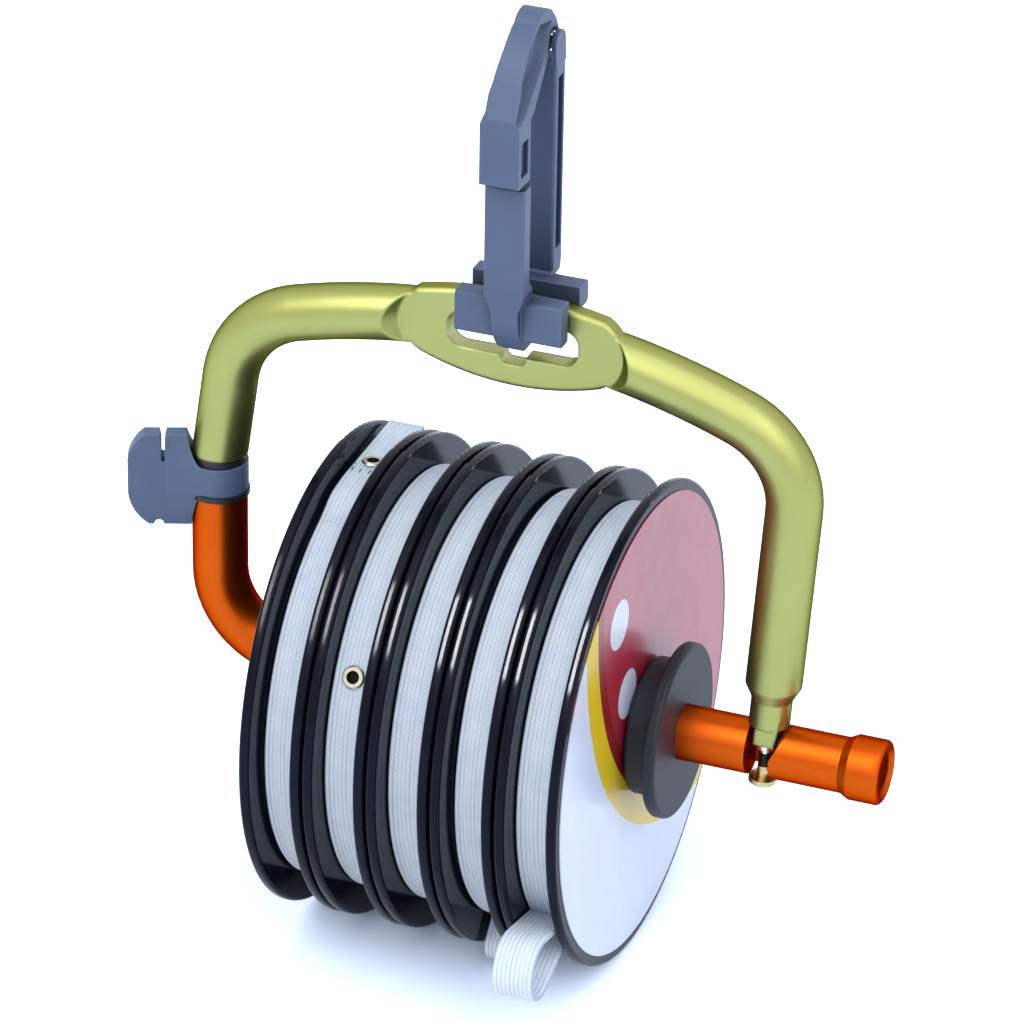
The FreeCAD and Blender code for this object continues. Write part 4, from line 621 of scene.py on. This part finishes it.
# Stitching: grey thread that tacks the first band's lap down round its eyelet. The thread
# is matt, and its twisted plies show as slanted lines.
spun_thread, tree, shader, place = new_material(
    "grey_spun_thread", Roughness=0.75, Sheen_Weight=0.2)
ply = add(tree, "ShaderNodeTexWave",
          {"Vector": place, "Scale": 1 / (1.1 * MM), "Distortion": 1.5},
          bands_direction="DIAGONAL")
tint = add(tree, "ShaderNodeMix",
           {0: ply.outputs["Fac"], 6: linear("#6c7a78"), 7: linear("#98a5a6")},
           data_type="RGBA")
tree.links.new(tint.outputs[2], shader.inputs["Base Color"])
# Each stitch: its place across the band in mm, its turn round it in degrees, and how far
# it leans across.
STITCHES = ((-1.7, -10, 0.2), (-1.9, -7.5, -0.15), (-1.8, -5, 0.1), (-1.9, -2.5, -0.1),
            (-1.7, 0, 0.15), (1.7, -10, -0.2), (1.8, -7.5, 0.15), (1.9, -5, -0.1),
            (1.8, -2.5, 0.1), (1.7, 0, -0.2), (-0.7, -10.5, 0.1), (0.5, -10.6, -0.1),
            (-0.6, 0.6, 0.1), (0.6, 0.5, -0.1))
STITCH_TURN = 1.9
STITCH_RADIUS = 0.13
STITCH_RISE = 0.1
STITCH_SUNK = 0.06
STITCH_SIDES = 8
mesh = bmesh.new()
for across, degrees, lean in STITCHES:
    rings = []
    for step in range(7):
        share = step / 6
        rise = STITCH_RISE * math.sin(math.pi * share)
        angle = degrees + (share - 0.5) * STITCH_TURN
        y, z = radial(angle, 0, BAND_RADIUS + RIBBON - STITCH_SUNK + rise)
        centre = Vector((SPOOL_X[0] + SPOOL_WIDTH / 2 + across + lean * (share - 0.5), y, z))
        girth = STITCH_RADIUS * math.sqrt(max(1 - (2 * share - 1) ** 4, 0.05))
        up = Vector((0, y, z)).normalized()
        ring = []
        for side in range(STITCH_SIDES):
            turn = math.tau * side / STITCH_SIDES
            around = Vector((1, 0, 0)) * math.cos(turn) + up * math.sin(turn)
            ring.append(mesh.verts.new((centre + around * girth) * MM))
        rings.append(ring)
    for low, high in zip(rings, rings[1:]):
        for side in range(STITCH_SIDES):
            beside = (side + 1) % STITCH_SIDES
            mesh.faces.new((low[side], low[beside], high[beside], high[side]))
    mesh.faces.new(rings[0][::-1])
    mesh.faces.new(rings[-1])
bmesh.ops.recalc_face_normals(mesh, faces=mesh.faces)
stitching = to_object(mesh, "lap_stitching")
stitching.data.shade_smooth()
stitching.data.materials.append(spun_thread)
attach(stitching, "reel_1")

# Label: glossy printed paper glued to the last cheek, with plain fields of colour: a red
# ground inside a wide arc, a dark red and a yellow border, and three white dots.
printed_paper, tree, shader, place = new_material(
    "glossy_printed_paper", Coat_Weight=0.4, Coat_Roughness=0.18)
paper = add(tree, "ShaderNodeTexNoise", {"Vector": place, "Scale": 1 / (3 * MM), "Detail": 4})
ink = add(tree, "ShaderNodeMix",
          {0: paper.outputs["Fac"], 6: linear("#dce8fd"), 7: linear("#d0e0fa")},
          data_type="RGBA").outputs[2]
LABEL_X = 55.65
ARC_CENTRE = (20.4, 21.9)
DOT_CIRCLE = 30.5
DOT_RADIUS = 3.1
fields = [(ARC_CENTRE, 41.5, "#e3c512"), (ARC_CENTRE, 37.6, "#8b1018"),
          (ARC_CENTRE, 35.6, "#a8213a")]
for degrees in (186, 208, 250):
    dot = (ARC_CENTRE[0] + DOT_CIRCLE * math.cos(math.radians(degrees)),
           ARC_CENTRE[1] + DOT_CIRCLE * math.sin(math.radians(degrees)))
    fields.append((dot, DOT_RADIUS, "#dbe3f4"))
for (y, z), radius, colour in fields:
    reach = add(tree, "ShaderNodeVectorMath", {0: place, 1: (LABEL_X * MM, y * MM, z * MM)},
                operation="DISTANCE")
    inside = add(tree, "ShaderNodeMath", {0: reach.outputs["Value"], 1: radius * MM},
                 operation="LESS_THAN")
    ink = add(tree, "ShaderNodeMix", {0: inside.outputs[0], 6: ink, 7: linear(colour)},
              data_type="RGBA").outputs[2]
tree.links.new(ink, shader.inputs["Base Color"])
polish = add(tree, "ShaderNodeMapRange",
             {"Value": paper.outputs["Fac"], "To Min": 0.26, "To Max": 0.4})
tree.links.new(polish.outputs["Result"], shader.inputs["Roughness"])
dress(printed_paper, "label_5")

# Stop: a moulded rubber boss and flange that grips the bar and holds the row of spools.
# The rubber is a satin blue-black, with a faint bloom and a fine skin.
moulded_rubber, tree, shader, place = new_material(
    "moulded_rubber", Roughness=0.5, Specular_IOR_Level=0.35)
bloom = add(tree, "ShaderNodeTexNoise", {"Vector": place, "Scale": 1 / (5 * MM), "Detail": 4})
tint = add(tree, "ShaderNodeMix",
           {0: bloom.outputs["Fac"], 6: linear("#171a24"), 7: linear("#222633")},
           data_type="RGBA")
tree.links.new(tint.outputs[2], shader.inputs["Base Color"])
skin = add(tree, "ShaderNodeTexNoise", {"Vector": place, "Scale": 1 / (0.4 * MM), "Detail": 2})
bump = add(tree, "ShaderNodeBump",
           {"Height": skin.outputs["Fac"], "Distance": 0.02 * MM, "Strength": 0.5})
tree.links.new(bump.outputs["Normal"], shader.inputs["Normal"])
dress(moulded_rubber, "spool_stop")

# Floor: plain white studio board. It shows the holder's shadow, and for the camera it is
# bleached, with a cool cast, to the white of the background. Reflections take less of it.
studio_board, tree, shader, place = new_material(
    "white_studio_board", Roughness=0.9, Specular_IOR_Level=0.1)
fleck = add(tree, "ShaderNodeTexNoise", {"Vector": place, "Scale": 60, "Detail": 2})
tint = add(tree, "ShaderNodeMix",
           {0: fleck.outputs["Fac"], 6: linear("#f6f6f6"), 7: linear("#f9f9f9")},
           data_type="RGBA")
tree.links.new(tint.outputs[2], shader.inputs["Base Color"])
REFLECTED = 0.4
path = add(tree, "ShaderNodeLightPath", {})
seen = add(tree, "ShaderNodeMath",
           {0: path.outputs["Is Camera Ray"], 1: path.outputs["Is Transmission Ray"]},
           operation="MAXIMUM")
clear = add(tree, "ShaderNodeMath",
            {0: path.outputs["Is Glossy Ray"], 1: REFLECTED, 2: seen.outputs[0]},
            operation="MULTIPLY_ADD")
bleach = add(tree, "ShaderNodeBsdfDiffuse", {"Color": (0.62, 0.8, 1.08, 1)})
lifted = add(tree, "ShaderNodeMixShader", {0: clear.outputs[0], 2: bleach.outputs[0]})
both = add(tree, "ShaderNodeAddShader", {0: shader.outputs[0], 1: lifted.outputs[0]})
tree.links.new(both.outputs[0], tree.nodes["Material Output"].inputs["Surface"])
mesh = bmesh.new()
bmesh.ops.create_grid(mesh, x_segments=8, y_segments=8, size=6)
floor = to_object(mesh, "floor")
floor.location = (0.04, 0, -0.0302)
floor.data.materials.append(studio_board)

# Light: an even cool sky and two wide soft lamps give the shade. A long strip only draws
# the highlights along the rods, and a second one the streaks on the glossy cheeks.
world = bpy.data.worlds.new("studio")
world.use_nodes = True
bpy.context.scene.world = world
tree = world.node_tree
path = add(tree, "ShaderNodeLightPath", {})
seen = add(tree, "ShaderNodeMath",
           {0: path.outputs["Is Camera Ray"], 1: path.outputs["Is Glossy Ray"]},
           operation="MAXIMUM")
clear = add(tree, "ShaderNodeMath",
            {0: seen.outputs[0], 1: path.outputs["Is Transmission Ray"]}, operation="MAXIMUM")
sky = add(tree, "ShaderNodeBackground", {"Color": linear("#e9f1ff"), "Strength": 0.78})
white = add(tree, "ShaderNodeBackground", {"Color": (1, 1, 1, 1), "Strength": 1})
chosen = add(tree, "ShaderNodeMixShader",
             {0: clear.outputs[0], 1: sky.outputs[0], 2: white.outputs[0]})
tree.links.new(chosen.outputs[0], tree.nodes["World Output"].inputs["Surface"])
for name, toward, strength, spread in (("front", (-0.12, 0.5, -0.85), 1.2, 80),
                                       ("side", (-0.8, 0.35, -0.6), 0.4, 50)):
    lamp = bpy.data.lights.new(name, "SUN")
    lamp.energy = strength
    lamp.angle = math.radians(spread)
    holder = bpy.data.objects.new(name, lamp)
    holder.rotation_euler = Vector(toward).to_track_quat("-Z", "Y").to_euler()
    bpy.context.scene.collection.objects.link(holder)
STRIP_AWAY = 1.6
STRIP_LENGTH = 0.9
for name, toward, width, strength in (("gleam", (0.38, 0.52, -0.78), 0.4, 0.8),
                                      ("streak", (0.3, 0.55, -0.78), 0.12, 4.5)):
    toward = Vector(toward).normalized()
    lengthwise = toward.cross(Vector((1, 0, 0))).normalized()
    crosswise = lengthwise.cross(toward)
    lamp = bpy.data.lights.new(name, "AREA")
    lamp.shape = "RECTANGLE"
    lamp.size = width
    lamp.size_y = STRIP_LENGTH
    lamp.energy = strength * math.pi * STRIP_AWAY ** 2
    holder = bpy.data.objects.new(name, lamp)
    stand = Vector((0.04, 0, 0)) - toward * STRIP_AWAY
    turned = Matrix((crosswise, lengthwise, -toward)).transposed().to_4x4()
    holder.matrix_world = Matrix.Translation(stand) @ turned
    holder.visible_diffuse = False
    bpy.context.scene.collection.objects.link(holder)
# The last strip, the streak, falls on the five spools alone.
cheeks = bpy.data.collections.new("cheeks")
for number in range(1, 6):
    cheeks.objects.link(nodes["spool_%d" % number])
holder.light_linking.receiver_collection = cheeks

# Camera: a long lens a little above the holder and to its right, as the photograph has it.
# It looks 23 mm above the middle of the bar, because the arm and the clip stand over it.
AZIMUTH, ELEVATION, ROLL = [math.radians(amount) for amount in (20.72, 28.14, 1.0)]
DISTANCE = 700
BAR_MIDDLE = Vector((43, 0, 0))
AIM_LEFT = 4.17
AIM_UP = 23.15
FOCAL_PIXELS = 5774.66
FRAME_PIXELS = 1024
SENSOR = 36
view = Vector((-math.sin(AZIMUTH) * math.cos(ELEVATION),
               math.cos(AZIMUTH) * math.cos(ELEVATION), -math.sin(ELEVATION)))
level = Vector((math.cos(AZIMUTH), math.sin(AZIMUTH), 0))
rise = level.cross(view)
across = level * math.cos(ROLL) + rise * math.sin(ROLL)
above = -level * math.sin(ROLL) + rise * math.cos(ROLL)
spot = (BAR_MIDDLE - view * DISTANCE - across * AIM_LEFT + above * AIM_UP) * MM
camera = bpy.data.objects.new("camera", bpy.data.cameras.new("camera"))
camera.matrix_world = Matrix(((across.x, above.x, -view.x, spot.x),
                              (across.y, above.y, -view.y, spot.y),
                              (across.z, above.z, -view.z, spot.z), (0, 0, 0, 1)))
camera.data.sensor_width = SENSOR
camera.data.lens = FOCAL_PIXELS / FRAME_PIXELS * SENSOR
camera.data.clip_start = 0.01
camera.data.clip_end = 60
bpy.context.scene.collection.objects.link(camera)
bpy.context.scene.camera = camera
bpy.context.scene.view_settings.view_transform = "Standard"
